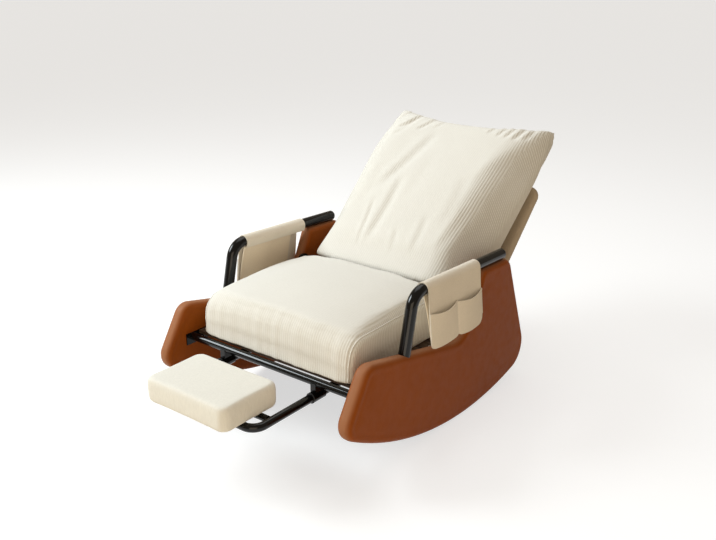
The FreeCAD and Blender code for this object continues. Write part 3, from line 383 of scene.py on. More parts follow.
def mottle_group():
    """A colour that drifts a little lighter and darker over the surface."""
    tree, source, target = new_group(
        "Mottle",
        [("Vector", "Vector", None), ("Colour", "Color", (1, 1, 1, 1)), ("Scale", "Float", 8.0),
         ("Amount", "Float", 0.1)],
        [("Colour", "Color")],
    )
    bench = Bench(tree)
    noise = bench.noise(source.outputs["Vector"], source.outputs["Scale"], 4.0, 0.6)
    centred = bench.math("SUBTRACT", noise, 0.5)
    drift = bench.math("MULTIPLY", centred, source.outputs["Amount"])
    level = bench.math("ADD", drift, 1.0)
    colour = bench.node("VectorMath", {"operation": "SCALE"}, i0=source.outputs["Colour"], Scale=level)
    tree.links.new(colour.outputs[0], target.inputs["Colour"])
    return tree


def weave_group():
    """Height of a plain weave: two sets of threads, over and under."""
    tree, source, target = new_group(
        "Weave",
        [("Vector", "Vector", None), ("Threads", "Float", 700.0)],
        [("Height", "Float")],
    )
    bench = Bench(tree)
    parts = bench.node("SeparateXYZ", Vector=source.outputs["Vector"])
    waves = []
    for axis in range(3):
        turned = bench.math("MULTIPLY", parts.outputs[axis], source.outputs["Threads"])
        waves.append(bench.math("SINE", turned))
    across = bench.math("MULTIPLY", waves[0], waves[1])
    height = bench.math("MULTIPLY", bench.math("ADD", across, waves[2]), 0.5)
    tree.links.new(height, target.inputs["Height"])
    return tree


def ribs_group():
    """Height of fine ribs that lie across X, or run up a side face, and the painted shade of their grooves.
    """
    tree, source, target = new_group(
        "Ribs",
        [("Vector", "Vector", None), ("Normal", "Vector", None), ("Pitch", "Float", 0.008)],
        [("Height", "Float"), ("Groove shade", "Float")],
    )
    bench = Bench(tree)
    place = source.outputs["Vector"]
    parts = bench.node("SeparateXYZ", Vector=place)
    wander = bench.math("MULTIPLY", bench.math("SUBTRACT", bench.noise(place, 5.0, 2.0), 0.5), 0.006)
    side = bench.node("SeparateXYZ", Vector=source.outputs["Normal"])
    sideways = bench.math("GREATER_THAN", bench.math("ABSOLUTE", side.outputs[0]), 0.72)
    front = bench.math("MULTIPLY", parts.outputs[0], bench.math("SUBTRACT", 1.0, sideways))
    flank = bench.math("MULTIPLY", parts.outputs[1], sideways)
    across = bench.math("ADD", bench.math("ADD", front, flank), wander)
    turns = bench.math("DIVIDE", bench.math("MULTIPLY", across, math.tau), source.outputs["Pitch"])
    wave = bench.math("MULTIPLY_ADD", bench.math("SINE", turns), 0.5)
    wave.node.inputs[2].default_value = 0.5
    ribs = bench.math("POWER", wave, 0.6)
    # Ribs show in patches, fade on level faces and show more where the cloth turns to the near side; the
    # groove darkening this drives is painted shade, strongest on the near side
    patchy = bench.ramp(bench.noise(place, 3.2, 2.0), 0.35, 0.65, 0.45, 1.0)
    level = bench.ramp(side.outputs[2], 0.72, 0.95, 1.0, 0.22)
    turned = bench.ramp(side.outputs[0], 0.05, 0.4, 0.8, 1.6)
    strong = bench.math("MULTIPLY", bench.math("MULTIPLY", patchy, level), turned)
    height = bench.math("MULTIPLY", ribs, strong)
    groove_shade = bench.math("MULTIPLY", bench.math("SUBTRACT", 1.0, ribs), strong)
    tree.links.new(height, target.inputs["Height"])
    tree.links.new(groove_shade, target.inputs["Groove shade"])
    return tree


def grain_group():
    """Height of a hide's grain: small cells with soft valleys."""
    tree, source, target = new_group(
        "Grain",
        [("Vector", "Vector", None), ("Scale", "Float", 500.0)],
        [("Height", "Float")],
    )
    bench = Bench(tree)
    place, scale = source.outputs["Vector"], source.outputs["Scale"]
    cells = bench.node("TexVoronoi", {"feature": "SMOOTH_F1"}, Vector=place, Scale=scale)
    fine = bench.noise(place, bench.math("MULTIPLY", scale, 0.35), 4.0, 0.6)
    height = bench.math("ADD", cells.outputs[0], bench.math("MULTIPLY", fine, 0.7))
    tree.links.new(height, target.inputs["Height"])
    return tree


groups = {}


def use_group(bench, name, **inputs):
    """Place one of the shared groups, made the first time it is asked for."""
    makers = {"Mottle": mottle_group, "Weave": weave_group, "Ribs": ribs_group, "Grain": grain_group}
    if name not in groups:
        groups[name] = makers[name]()
    node = bench.tree.nodes.new("ShaderNodeGroup")
    node.node_tree = groups[name]
    for key, value in inputs.items():
        bench.join(value, node.inputs[key])
    return node


# Materials

def new_material(name, **settings):
    """A material with its shader; settings go on the shader's own sockets."""
    material = bpy.data.materials.new(name)
    material.use_nodes = True
    bench = Bench(material.node_tree)
    shader = material.node_tree.nodes["Principled BSDF"]
    for key, value in settings.items():
        shader.inputs[key.replace("_", " ")].default_value = value
    place = bench.node("TexCoord").outputs["Object"]
    return material, bench, shader, place


def paint(bench, shader, colour):
    bench.join(colour, shader.inputs["Base Color"])


def raise_surface(bench, shader, height, strength, distance):
    bump = bench.node("Bump", Height=height, Strength=strength, Distance=distance)
    bench.join(bump.outputs[0], shader.inputs["Normal"])


def vary_roughness(bench, shader, noise, low, high):
    bench.join(bench.ramp(noise, 0.3, 0.7, low, high), shader.inputs["Roughness"])


def opaque(colour, level=1.0):
    return (*[share * level for share in colour], 1.0)


def mottled(bench, place, colour, *drifts):
    """A colour with drifts laid over it, each given by its scale and amount."""
    for scale, amount in drifts:
        drift = use_group(bench, "Mottle", Vector=place, Colour=colour, Scale=scale, Amount=amount)
        colour = drift.outputs[0]
    return colour


def cushion_cloth():
    """Cream cloth with fine ribs and painted shade in their grooves."""
    material, bench, shader, place = new_material(
        "cream_ribbed_cloth", Roughness=0.92, Specular_IOR_Level=0.25, Sheen_Weight=0.25, Sheen_Roughness=0.5,
    )
    normal = bench.node("TexCoord").outputs["Normal"]
    ribs = use_group(bench, "Ribs", Vector=place, Normal=normal, Pitch=sizes().rib_pitch)
    cream = colours().cream
    base = mottled(bench, place, opaque(cream), (5.0, 0.07), (210.0, 0.12))
    # Painted shade: the grooves between the ribs are painted darker and warmer
    shade = bench.math("MULTIPLY", ribs.outputs["Groove shade"], 0.42)
    groove_shade = opaque((cream[0], cream[1] * 0.93, cream[2] * 0.82), 0.62)
    paint(bench, shader, bench.mix(shade, base, groove_shade))
    weave = use_group(bench, "Weave", Vector=place, Threads=4200.0)
    height = bench.math("ADD", ribs.outputs["Height"], bench.math("MULTIPLY", weave.outputs[0], 0.12))
    raise_surface(bench, shader, height, 0.55, 1.1 * MM)
    return material


def pad_cloth():
    """Plain cream cloth of the footrest."""
    material, bench, shader, place = new_material(
        "cream_plain_cloth", Roughness=0.9, Specular_IOR_Level=0.25, Sheen_Weight=0.2, Sheen_Roughness=0.5,
    )
    wide = mottled(bench, place, opaque(colours().pad), (9.0, 0.08))
    streaks = bench.stretched(place, (1.0, 1.0, 0.25))
    paint(bench, shader, mottled(bench, streaks, wide, (230.0, 0.2)))
    weave = use_group(bench, "Weave", Vector=place, Threads=2600.0)
    raise_surface(bench, shader, weave.outputs[0], 0.4, 0.35 * MM)
    return material


def canvas_cloth(name, colour, threads=2300.0):
    """Plain woven cloth."""
    material, bench, shader, place = new_material(
        name, Roughness=0.88, Specular_IOR_Level=0.25, Sheen_Weight=0.12, Sheen_Roughness=0.5,
    )
    base = mottled(bench, place, opaque(colour), (14.0, 0.12), (260.0, 0.16))
    paint(bench, shader, base)
    weave = use_group(bench, "Weave", Vector=place, Threads=threads)
    raise_surface(bench, shader, weave.outputs[0], 0.5, 0.4 * MM)
    return material


def saddle_leather():
    """Saddle leather, paler on the rolled rim: partly rubbed wear, partly a painted highlight."""
    material, bench, shader, place = new_material(
        "saddle_leather", Specular_IOR_Level=0.08, Coat_Weight=0.03, Coat_Roughness=0.4,
    )
    leather = colours().leather
    base = mottled(bench, place, opaque(leather), (4.0, 0.34), (90.0, 0.16))
    side = bench.node("SeparateXYZ", Vector=bench.node("NewGeometry").outputs["Normal"])
    facing = bench.math("ABSOLUTE", side.outputs[0])
    # The rim, where the surface turns away from the side, is painted paler and pinker: partly wear, partly a
    # painted highlight
    rim = bench.ramp(facing, 0.85, 0.1, 0.0, 0.45)
    worn_and_highlit = opaque((leather[0] * 1.65, leather[1] * 4.0, leather[2] * 24.0))
    paint(bench, shader, bench.mix(rim, base, worn_and_highlit))
    vary_roughness(bench, shader, bench.noise(place, 35.0, 3.0), 0.42, 0.56)
    grain = use_group(bench, "Grain", Vector=place, Scale=420.0)
    raise_surface(bench, shader, grain.outputs[0], 0.28, 0.5 * MM)
    return material


def gloss_black():
    """Glossy black enamel of the steel tubes."""
    material, bench, shader, place = new_material(
        "gloss_black_enamel", Specular_IOR_Level=0.08, Coat_Weight=0.5, Coat_Roughness=0.04,
    )
    paint(bench, shader, mottled(bench, place, opaque(colours().black), (30.0, 0.5)))
    vary_roughness(bench, shader, bench.noise(place, 60.0, 4.0), 0.16, 0.26)
    raise_surface(bench, shader, bench.noise(place, 220.0, 2.0), 0.05, 0.3 * MM)
    return material


def black_plastic():
    """Plugs, clips and bushes."""
    material, bench, shader, place = new_material("black_plastic", Specular_IOR_Level=0.45)
    paint(bench, shader, mottled(bench, place, (0.02, 0.02, 0.022, 1), (40.0, 0.4)))
    vary_roughness(bench, shader, bench.noise(place, 300.0, 3.0), 0.42, 0.55)
    grain = use_group(bench, "Grain", Vector=place, Scale=1400.0)
    raise_surface(bench, shader, grain.outputs[0], 0.15, 0.2 * MM)
    return material


def zinc_steel():
    """Bolts, screws and pins."""
    material, bench, shader, place = new_material("zinc_steel", Metallic=1.0)
    paint(bench, shader, mottled(bench, place, (0.55, 0.55, 0.54, 1), (120.0, 0.3)))
    vary_roughness(bench, shader, bench.noise(place, 400.0, 3.0), 0.3, 0.48)
    return material


def wood(name, colour, dark, along):
    """Straight-grained wood; along is the stretch of the grain on each axis."""
    material, bench, shader, place = new_material(name, Specular_IOR_Level=0.35)
    streaks = bench.noise(bench.stretched(place, along), 9.0, 8.0, 0.65)
    bands = bench.ramp(streaks, 0.35, 0.68, 0.0, 1.0)
    paint(bench, shader, bench.mix(bands, opaque(colour), opaque(dark)))
    vary_roughness(bench, shader, streaks, 0.45, 0.65)
    raise_surface(bench, shader, streaks, 0.2, 0.4 * MM)
    return material


def webbing():
    """Black elastic webbing with fine cords across."""
    material, bench, shader, place = new_material("elastic_webbing", Roughness=0.85, Specular_IOR_Level=0.25)
    paint(bench, shader, mottled(bench, place, (0.10, 0.09, 0.08, 1), (120.0, 0.5)))
    weave = use_group(bench, "Weave", Vector=place, Threads=2600.0)
    raise_surface(bench, shader, weave.outputs[0], 0.6, 0.4 * MM)
    return material


# Colours of the two woods: pale and dark bands, then the stretch of the grain on each axis
# The slats' wood is near black, in its pale bands and its dark ones alike
SLAT_WOOD = ((0.085, 0.050, 0.028), (0.045, 0.026, 0.014), (0.35, 6.0, 6.0))
PLYWOOD = ((0.60, 0.45, 0.28), (0.47, 0.32, 0.18), (8.0, 0.6, 1.4))

MATERIAL_MAKERS = {
    "gloss_black": gloss_black,
    "black_plastic": black_plastic,
    "zinc_steel": zinc_steel,
    "slat_wood": lambda: wood("near_black_slats", *SLAT_WOOD),
    "plywood": lambda: wood("plywood", *PLYWOOD),
    "cushion_cloth": cushion_cloth,
    "pad_cloth": pad_cloth,
    "canvas": lambda: canvas_cloth("caddy_canvas", colours().canvas),
    "lining": lambda: canvas_cloth("caddy_lining", colours().lining),
    "panel_cloth": lambda: canvas_cloth("panel_cloth", colours().panel, 3000.0),
    "leather": saddle_leather,
    "webbing": webbing,
}
made_materials = {}


def material_of(name):
    if name not in made_materials:
        made_materials[name] = MATERIAL_MAKERS[name]()
    return made_materials[name]


# Camera, floor and light

CAMERA_PLACE = (1.56358, -2.00997, 1.34158)
CAMERA_AZIMUTH = math.radians(37.88)
CAMERA_PITCH = math.radians(20.02)
CAMERA_LENS = 43.21

# What the camera sees of the floor and the room, and what they give as light
FLOOR_SEEN = (0.50, 0.50, 0.50, 1)
FLOOR_GLOW = (0.61, 0.62, 0.63, 1)
FLOOR_BOUNCE = (0.84, 0.76, 0.64, 1)
ROOM_SEEN = (0.80, 0.80, 0.79, 1)
ROOM_LIGHT = (0.35, 0.295, 0.228, 1)

# Each lamp's place, width, power in watts and colour
LAMPS = {
    "key": ((-2.6, -1.8, 2.5), 1.6, 124, (0.885, 0.965, 1.0)),
    "top": ((-0.6, 0.9, 3.2), 2.4, 30, (0.96, 0.98, 1.0)),
    "fill": ((1.9, -2.8, 0.9), 2.4, 34, (1.0, 0.84, 0.64)),
}
LAMP_AIM = Vector((0, 0.05, 0.35))


class CHAIR_OT_stage(bpy.types.Operator):
    """Set up the camera, the floor and the lamps"""

    bl_idname = "chair.stage"
    bl_label = "Camera, floor and lamps"

    def execute(self, context):
        data = bpy.data.cameras.new("view")
        data.sensor_width = 36
        data.lens = CAMERA_LENS
        data.clip_end = 200
        camera = bpy.data.objects.new("view", data)
        context.scene.collection.objects.link(camera)
        camera.location = CAMERA_PLACE
        camera.rotation_euler = (math.pi / 2 - CAMERA_PITCH, 0, CAMERA_AZIMUTH)
        context.scene.camera = camera
        context.scene.view_settings.view_transform = "Standard"
        self.floor()
        self.lamps(context)
        return {"FINISHED"}

    def floor(self):
        deselect()
        bpy.ops.mesh.primitive_circle_add(vertices=96, radius=40, fill_type="NGON", location=(0, 0, 0))
        floor = bpy.context.object
        floor.name = "floor"
        material, bench, shader, place = new_material("pale_floor", Roughness=0.8, Specular_IOR_Level=0.2)
        base = mottled(bench, place, FLOOR_SEEN, (1.5, 0.03))
        path = bench.node("LightPath")
        seen = bench.math("MAXIMUM", path.outputs["Is Camera Ray"], path.outputs["Is Glossy Ray"])
        seen = bench.math("MAXIMUM", seen, path.outputs["Is Transmission Ray"])
        paint(bench, shader, bench.mix(seen, FLOOR_BOUNCE, base))
        glow = bench.mix(seen, (0, 0, 0, 1), FLOOR_GLOW)
        bench.join(glow, shader.inputs["Emission Color"])
        shader.inputs["Emission Strength"].default_value = 1.0
        floor.data.materials.append(material)

    def lamps(self, context):
        world = bpy.data.worlds.new("soft_room")
        world.use_nodes = True
        bench = Bench(world.node_tree)
        background = world.node_tree.nodes["Background"]
        seen = bench.node("LightPath").outputs["Is Camera Ray"]
        bench.join(bench.mix(seen, ROOM_LIGHT, ROOM_SEEN), background.inputs["Color"])
        background.inputs["Strength"].default_value = 1.0
        context.scene.world = world
        for name, settings in LAMPS.items():
            self.lamp(name, *settings)

    def lamp(self, name, place, width, power, colour):
        data = bpy.data.lights.new(name, "AREA")
        data.shape = "SQUARE"
        data.size = width
        data.energy = power
        data.color = colour
        lamp = bpy.data.objects.new(name, data)
        bpy.context.scene.collection.objects.link(lamp)
        lamp.location = place
        lamp.rotation_euler = (LAMP_AIM - Vector(place)).to_track_quat("-Z", "Y").to_euler()


# Frame finishes

class CHAIR_OT_frame(bpy.types.Operator):
    """Finish the tubes, bars, plates, slats and fasteners of the frame"""

    bl_idname = "chair.frame"
    bl_label = "Frame finishes"

    def execute(self, context):
        for finish, names in FINISHES.items():
            for name in names:
                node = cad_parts[name]
                node.data.materials.clear()
                node.data.materials.append(material_of(finish))
        return {"FINISHED"}


# Rocker sides

class CHAIR_OT_rocker_sides(bpy.types.Operator):
    """Make the padded leather sides with their rolled rims"""

    bl_idname = "chair.rocker_sides"
    bl_label = "Rocker sides"

    def execute(self, context):
        for side in ("right", "left"):
            node = "rocker_cover_" + side
            piece = self.outer_skin(copy_of(node, node + "_skin"))
            remesh(piece, 4.5 * MM)
            relax(piece, 4)
            self.roll_rim(piece)
            smooth(piece)
            settle(piece, "leather_side_" + side, "chair", [node], material_of("leather"))
        return {"FINISHED"}

    def outer_skin(self, piece):
        """Drop the walls round the hidden board and its bores, and close the holes left."""
        mesh = piece.data
        tree = BVHTree.FromPolygons([v.co for v in mesh.vertices], [p.vertices for p in mesh.polygons])
        hidden = []
        for polygon in mesh.polygons:
            start = polygon.center + polygon.normal * 0.05 * MM
            hidden.append(tree.ray_cast(start, polygon.normal)[0] is not None)
        mark_faces(piece, hidden)
        bpy.ops.mesh.delete(type="FACE")
        bpy.ops.mesh.select_all(action="SELECT")
        bpy.ops.mesh.fill_holes(sides=0)
        bpy.ops.mesh.normals_make_consistent(inside=False)
        bpy.ops.object.mode_set(mode="OBJECT")
        return piece

    def roll_rim(self, piece):
        """A rolled rim, a shallow valley inside it that deepens to the nose, and a slightly full face."""
        points, normals = points_of(piece), normals_of(piece)
        middle = (points[:, 0].min() + points[:, 0].max()) / 2
        inward = self.from_rim(points, np.abs(points[:, 0] - middle) < 4 * MM)
        face = ease(0.75, 0.97, np.abs(normals[:, 0]))
        from_nose = points[:, 1] - points[:, 1].min()
        nose = 1 - ease(60 * MM, 260 * MM, from_nose)
        valley = (0.35 + 1.0 * nose) * MM * bell(inward - 26 * MM, 8 * MM)
        full = 1.1 * MM * ease(25 * MM, 90 * MM, inward)
        points[:, 0] += np.sign(points[:, 0] - middle) * face * (full - valley)
        put_points(piece, points)

    def from_rim(self, points, rim):
        """How far inside the side's outline each point lies, seen from the side."""
        tree = KDTree(int(rim.sum()))
        for i, point in enumerate(points[rim]):
            tree.insert((0, point[1], point[2]), i)
        tree.balance()
        return np.array([tree.find((0, point[1], point[2]))[2] for point in points])


# Cushions

# The back's lean from upright at rest, and the ways up along it and out of its front
LEAN = math.radians(46)
UP_BACK = np.array([0, math.sin(LEAN), math.cos(LEAN)])
OUT_OF_BACK = np.array([0, -math.cos(LEAN), math.sin(LEAN)])

# How much smaller a cushion starts, before its cover swells
SHRUNK = 2.5 * MM

# How far from its hinge line the back's foot reaches, and between which heights the seat's lip rises
FOOT_REACH = 76.5 * MM
LIP_FROM, LIP_TO = 372 * MM, 398 * MM

# How far up the back its cushion's top lies, and how far out its rear seam
BACK_TOP = 731 * MM
BACK_SEAM = -181 * MM


def from_hinge(points):
    """How far points lie behind and above the line that the back turns on."""
    low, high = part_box("hinge_pins")
    return points[:, 1] - (low[1] + high[1]) / 2, points[:, 2] - (low[2] + high[2]) / 2


def up_the_back(points):
    """How far points lie up the back and out of it, from the line that it turns on."""
    y, z = from_hinge(points)
    return y * UP_BACK[1] + z * UP_BACK[2], y * OUT_OF_BACK[1] + z * OUT_OF_BACK[2]


def creases(across, along, strokes):
    """Height of soft creases, each a stroke: its ends, its depth and its width, in millimetres."""
    height = np.zeros_like(across)
    for x0, a0, x1, a1, depth, width in strokes:
        run_x, run_a = (x1 - x0) * MM, (a1 - a0) * MM
        length = math.hypot(run_x, run_a)
        from_x, from_a = across - x0 * MM, along - a0 * MM
        way = (from_x * run_x + from_a * run_a) / length ** 2
        aside = (from_x * run_a - from_a * run_x) / length + 0.03 * length * np.sin(way * math.pi)
        fold = bell(aside, width * MM) - 0.55 * bell(aside - 1.6 * width * MM, width * MM)
        height -= depth * MM * fold * np.exp(-((way - 0.5) / 0.46) ** 6)
    return height


def welt(piece, x, radius):
    """A welt round a cushion, where a plane across X cuts it."""
    line = piece.copy()
    line.data = piece.data.copy()
    bpy.context.scene.collection.objects.link(line)
    with editing(line):
        bpy.ops.mesh.bisect(plane_co=(x, 0, 0), plane_no=(1, 0, 0), clear_inner=True, clear_outer=True)
    bpy.ops.object.convert(target="CURVE")
    line.data.bevel_depth = radius
    line.data.bevel_resolution = 2
    bpy.ops.object.convert(target="MESH")
    pick(piece)
    line.select_set(True)
    bpy.ops.object.join()


class CHAIR_OT_seat_cushion(bpy.types.Operator):
    """Make the seat cushion, swollen in its cover, with welts in its side seams"""

    bl_idname = "chair.seat_cushion"
    bl_label = "Seat cushion"

    def execute(self, context):
        low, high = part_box("seat_cushion")
        piece = copy_of("seat_cushion", "seat_cushion_soft")
        shrink(piece, SHRUNK)
        remesh(piece, 7 * MM)
        relax(piece, 3)
        swell(piece)
        subdivide(piece)
        points, normals = points_of(piece), normals_of(piece)
        seam = high[0] - sizes().seam_inset
        points += normals * (self.wrinkles(points, normals, low) + self.seam_groove(points, seam))[:, None]
        points[:, 0] += np.sign(points[:, 0]) * self.full_sides(points, low, high)
        self.raise_lip(points, high)
        self.fill_foot(points, low, high)
        self.fit(points, low, high)
        put_points(piece, points)
        for x in (-seam, seam):
            welt(piece, x, sizes().welt_radius)
        smooth(piece)
        cloth = material_of("cushion_cloth")
        settle(piece, "seat_cushion_cover", "chair", ["seat_cushion"], cloth)
        return {"FINISHED"}

    def raise_lip(self, points, high):
        """The rear edge of the top rises and leans to the back cushion, the more so the higher it lies."""
        top = ease(LIP_FROM, LIP_TO, points[:, 2])
        lip = ease(high[1] - 70 * MM, high[1] - 12 * MM, points[:, 1]) * top
        points[:, 1] += 9 * MM * lip
        points[:, 2] += 7 * MM * lip

    def fill_foot(self, points, low, high):
        """The lower edge is full in front, over the crossbar, and at the sides."""
        foot = 1 - ease(low[2], low[2] + 45 * MM, points[:, 2])
        ahead = foot * (1 - ease(low[1] + 10 * MM, low[1] + 50 * MM, points[:, 1]))
        beside = foot * ease(high[0] - 40 * MM, high[0] - 4 * MM, np.abs(points[:, 0]))
        points[:, 1] -= 16 * MM * ahead
        points[:, 0] += np.sign(points[:, 0]) * 5 * MM * beside
        points[:, 2] -= (points[:, 2] - low[2]) * 0.9 * np.maximum(ahead, beside)

    def wrinkles(self, points, normals, low):
        """Fine upright wrinkles over the front roll, and a soft dip where one sits."""
        x, back = points[:, 0], points[:, 1] - low[1]
        near = 1 - ease(0.02, 0.10, back)
        wave = np.sin(x * 105 + np.sin(x * 23) * 1.7) * np.sin(x * 41 + 1.1)
        level = ease(0.5, 0.95, normals[:, 2])
        dip = bell(back - 0.26, 0.13) * bell(x, 0.17) * level
        return 0.7 * MM * near * wave * (1 - level) - 3 * MM * dip

    def seam_groove(self, points, seam):
        """A shallow groove along each side seam."""
        return -1.6 * MM * bell(np.abs(points[:, 0]) - seam, 4 * MM)

    def full_sides(self, points, low, high):
        """The side panels bulge a little between their seams."""
        level = (points[:, 2] - low[2]) / (high[2] - low[2])
        side = ease(high[0] - 14 * MM, high[0] - 3 * MM, np.abs(points[:, 0]))
        return side * 5 * MM * np.sin(np.clip(level * 1.15, 0, 1) * math.pi)

    def fit(self, points, low, high):
        """Keep the cushion on its slats, between the sides and clear of the back's foot."""
        points[:, 2] = np.maximum(points[:, 2], low[2])
        points[:, 0] = np.clip(points[:, 0], low[0] - 5 * MM, high[0] + 5 * MM)
        points[:, 1] = np.clip(points[:, 1], low[1] - 7 * MM, high[1])
        keep_clear(points)


def keep_clear(points):
    """Push points out of the room that the back's foot turns in."""
    y, z = from_hinge(points)
    short = np.clip(FOOT_REACH / np.maximum(np.hypot(y, z), 1e-6), 1, 1.2) - 1
    points[:, 1] += y * short
    points[:, 2] += z * short


# Creases of the back cushion's front: across and up the back at each end, depth and width, in millimetres
BACK_CREASES = (
    (-186, 716, -250, 606, 4.6, 9), (-242, 724, -288, 640, 4.0, 8), (-128, 694, -172, 622, 3.4, 8.5),
    (-206, 672, -242, 570, 2.4, 10), (-86, 690, -112, 640, 1.8, 8), (-262, 640, -280, 560, 2.4, 10),
    (124, 704, 100, 652, 3.0, 7.5), (160, 708, 142, 646, 3.6, 7.5), (193, 712, 172, 642, 4.2, 8),
    (226, 718, 204, 640, 4.4, 8.5), (254, 720, 238, 652, 3.4, 8),
    (-84, 624, -152, 330, 4.2, 20), (-88, 392, -66, 100, 4.6, 17), (-138, 280, -94, 70, 2.8, 9),
    (-30, 520, -24, 280, 1.5, 26), (94, 250, 114, 100, 2.2, 13), (140, 440, 168, 230, 1.8, 20),
    (18, 180, 44, 60, 2.0, 11), (-196, 440, -178, 250, 1.8, 20), (206, 320, 190, 140, 1.8, 14),
)


class CHAIR_OT_back_cushion(bpy.types.Operator):
    """Make the back cushion, swollen in its cover, with gathers at its upper corners"""

    bl_idname = "chair.back_cushion"
    bl_label = "Back cushion"

    def execute(self, context):
        piece = copy_of("back_cushion", "back_cushion_soft")
        shrink(piece, SHRUNK)
        remesh(piece, 7.5 * MM)
        relax(piece, 4)
        along, _ = up_the_back(points_of(piece))
        swell(piece, ease(60 * MM, 260 * MM, along)[:, None])
        subdivide(piece)
        relax(piece, 2)
        self.shape(piece)
        smooth(piece)
        cloth = material_of("cushion_cloth")
        settle(piece, "back_cushion_cover", "backrest", ["back_cushion"], cloth)
        return {"FINISHED"}

    def shape(self, piece):
        """Move each point out of the back, up it and sideways; share is -1 to 1 from side to side."""
        points, normals = points_of(piece), normals_of(piece)
        along, out = up_the_back(points)
        share = points[:, 0] / (286 * MM + 20 * MM * along / BACK_TOP)
        left = share < 0
        front = ease(BACK_SEAM + 15 * MM, BACK_SEAM + 110 * MM, out)
        face = ease(0.25, 0.8, normals @ OUT_OF_BACK)
        high = bell(along - 0.56, 0.17)
        side = ease(0.72, 1.0, np.abs(share))
        ear = ease(0.74, 1.0, np.abs(share)) * ease(0.84 * BACK_TOP, BACK_TOP, along)
        # Creases, a ridge from the upper right corner, full at the upper left, rolled edges
        fine = creases(points[:, 0], along, BACK_CREASES) * face * ease(40 * MM, 160 * MM, along)
        ridge_line = points[:, 0] - 0.217 - (along - 0.58) * 0.45
        ridge = 5 * MM * bell(ridge_line, 0.030) * ease(0.40, 0.60, along) * face
        bulge = 13 * MM * bell(share + 0.86, 0.30) * high * front
        outwards = fine + ridge + bulge - self.rolled(share, along, out, front)
        # Ears at the upper corners, a raised top, lower corners that reach down to the seat
        lift = 5 * MM * ease(0.86 * BACK_TOP, BACK_TOP, along)
        upwards = ear * (11 + 3 * np.sign(share)) * MM + lift - self.corner_reach(share, along)
        # Full at the upper left, drawn in beside the arms
        full = np.where(left, 17, 0) * MM * high * side * (0.35 + 0.65 * front)
        drawn = 10 * MM * bell(along - 0.17, 0.12) * side
        points += outwards[:, None] * OUT_OF_BACK + upwards[:, None] * UP_BACK
        points[:, 0] += np.sign(share) * (full - drawn) - np.where(left, 6, 0) * MM * ear
        put_points(piece, points)

    def rolled(self, share, along, out, front):
        """How far the front falls away: far in to the right, and only near its edge to the left."""
        middle = ease(0.06, 0.34, along) * (1 - ease(0.54, 0.74, along))
        start = 0.64 - 0.10 * middle
        right = np.clip((share - start) / (1.05 - start), 0, 1) ** 1.9
        left = np.clip((-share - 0.80) / 0.20, 0, 1) ** 2
        fall = (right * (50 + 84 * middle) + left * (34 - 26 * ease(0.1, 0.5, along))) * MM
        room = np.maximum(out - BACK_SEAM - 12 * MM, 1 * MM)
        return room * np.tanh(fall * front / room)

    def corner_reach(self, share, along):
        """How far the lower corners reach down to the seat."""
        corner = (1 - np.sqrt(1 - np.clip(np.abs(share), 0, 0.999) ** 2)) ** 2
        return 190 * MM * corner * (1 - ease(0.16, 0.40, along))


class CHAIR_OT_footrest_cushion(bpy.types.Operator):
    """Make the footrest cushion"""

    bl_idname = "chair.footrest_cushion"
    bl_label = "Footrest cushion"

    def execute(self, context):
        piece = copy_of("footrest_cushion", "footrest_cushion_soft")
        remesh(piece, 5 * MM)
        relax(piece, 3)
        subdivide(piece)
        smooth(piece)
        cloth = material_of("pad_cloth")
        settle(piece, "footrest_cover", "footrest_pad", ["footrest_cushion"], cloth)
        return {"FINISHED"}


# Back panel and straps

class CHAIR_OT_back_panel(bpy.types.Operator):
    """Make the cloth-covered panel behind the back and the straps in front of it"""

    bl_idname = "chair.back_panel"
    bl_label = "Back panel and straps"

    def execute(self, context):
        panel = copy_of("back_panel", "back_panel_cover")
        remesh(panel, 5 * MM)
        relax(panel, 3)
        smooth(panel)
        cloth = material_of("panel_cloth")
        settle(panel, "back_panel_cover", "backrest", ["back_panel"], cloth)
        straps = copy_of("back_straps", "back_straps_woven")
        smooth(straps)
        settle(straps, "back_straps_woven", "backrest", ["back_straps"], material_of("webbing"))
        return {"FINISHED"}


# Arm caddies

# The arm tube's axis at the caddy's middle, and its fall to the rear
ARM_X, ARM_Y, ARM_Z = 347.5 * MM, -16.75 * MM, 474.61 * MM
ARM_FALL = math.radians(2)

# The caddy: half its length, its radius round the tube, its hem's turn under it and the share of its cloth
# that lies round it, how far its flap hangs, flares and slants to the rear, and where the pockets' mouths lie
CADDY_HALF = 140 * MM
SLEEVE_RADIUS = 19.2 * MM
HEM_TURN = math.radians(52)
ROUND_TUBE = 0.32
FLAP_DROP = 172 * MM
FLAP_FLARE = 16 * MM
FLAP_SLANT = 5 * MM
MOUTH_DOWN = 68 * MM


def on_arm(side, along, across, up):
    """Places by an arm: along it from the caddy's middle, outwards from its axis, and up."""
    x = side * (ARM_X + across)
    y = ARM_Y + along * math.cos(ARM_FALL) + up * math.sin(ARM_FALL)
    z = ARM_Z - along * math.sin(ARM_FALL) + up * math.cos(ARM_FALL)
    return np.stack([x, y, z], axis=1)


def grid_sheet(name, columns, rows, place):
    """A sheet of cloth from a grid; place turns shares of its length and width into points."""
    deselect()
    bpy.ops.mesh.primitive_grid_add(x_subdivisions=columns, y_subdivisions=rows, size=1)
    piece = bpy.context.object
    piece.name = name
    shares = points_of(piece)[:, :2] + 0.5
    put_points(piece, place(shares[:, 0], shares[:, 1]))
    return piece


def thicken(piece, thickness):
    """Give a sheet its thickness, half of it to each side."""
    modify(piece, "thick", "SOLIDIFY", thickness=thickness, offset=0)
    with editing(piece):
        bpy.ops.mesh.normals_make_consistent(inside=False)


def pocket_half(along):
    """0 to 1 across each of the two pockets."""
    return np.where(along < 0, along + CADDY_HALF, along) / CADDY_HALF


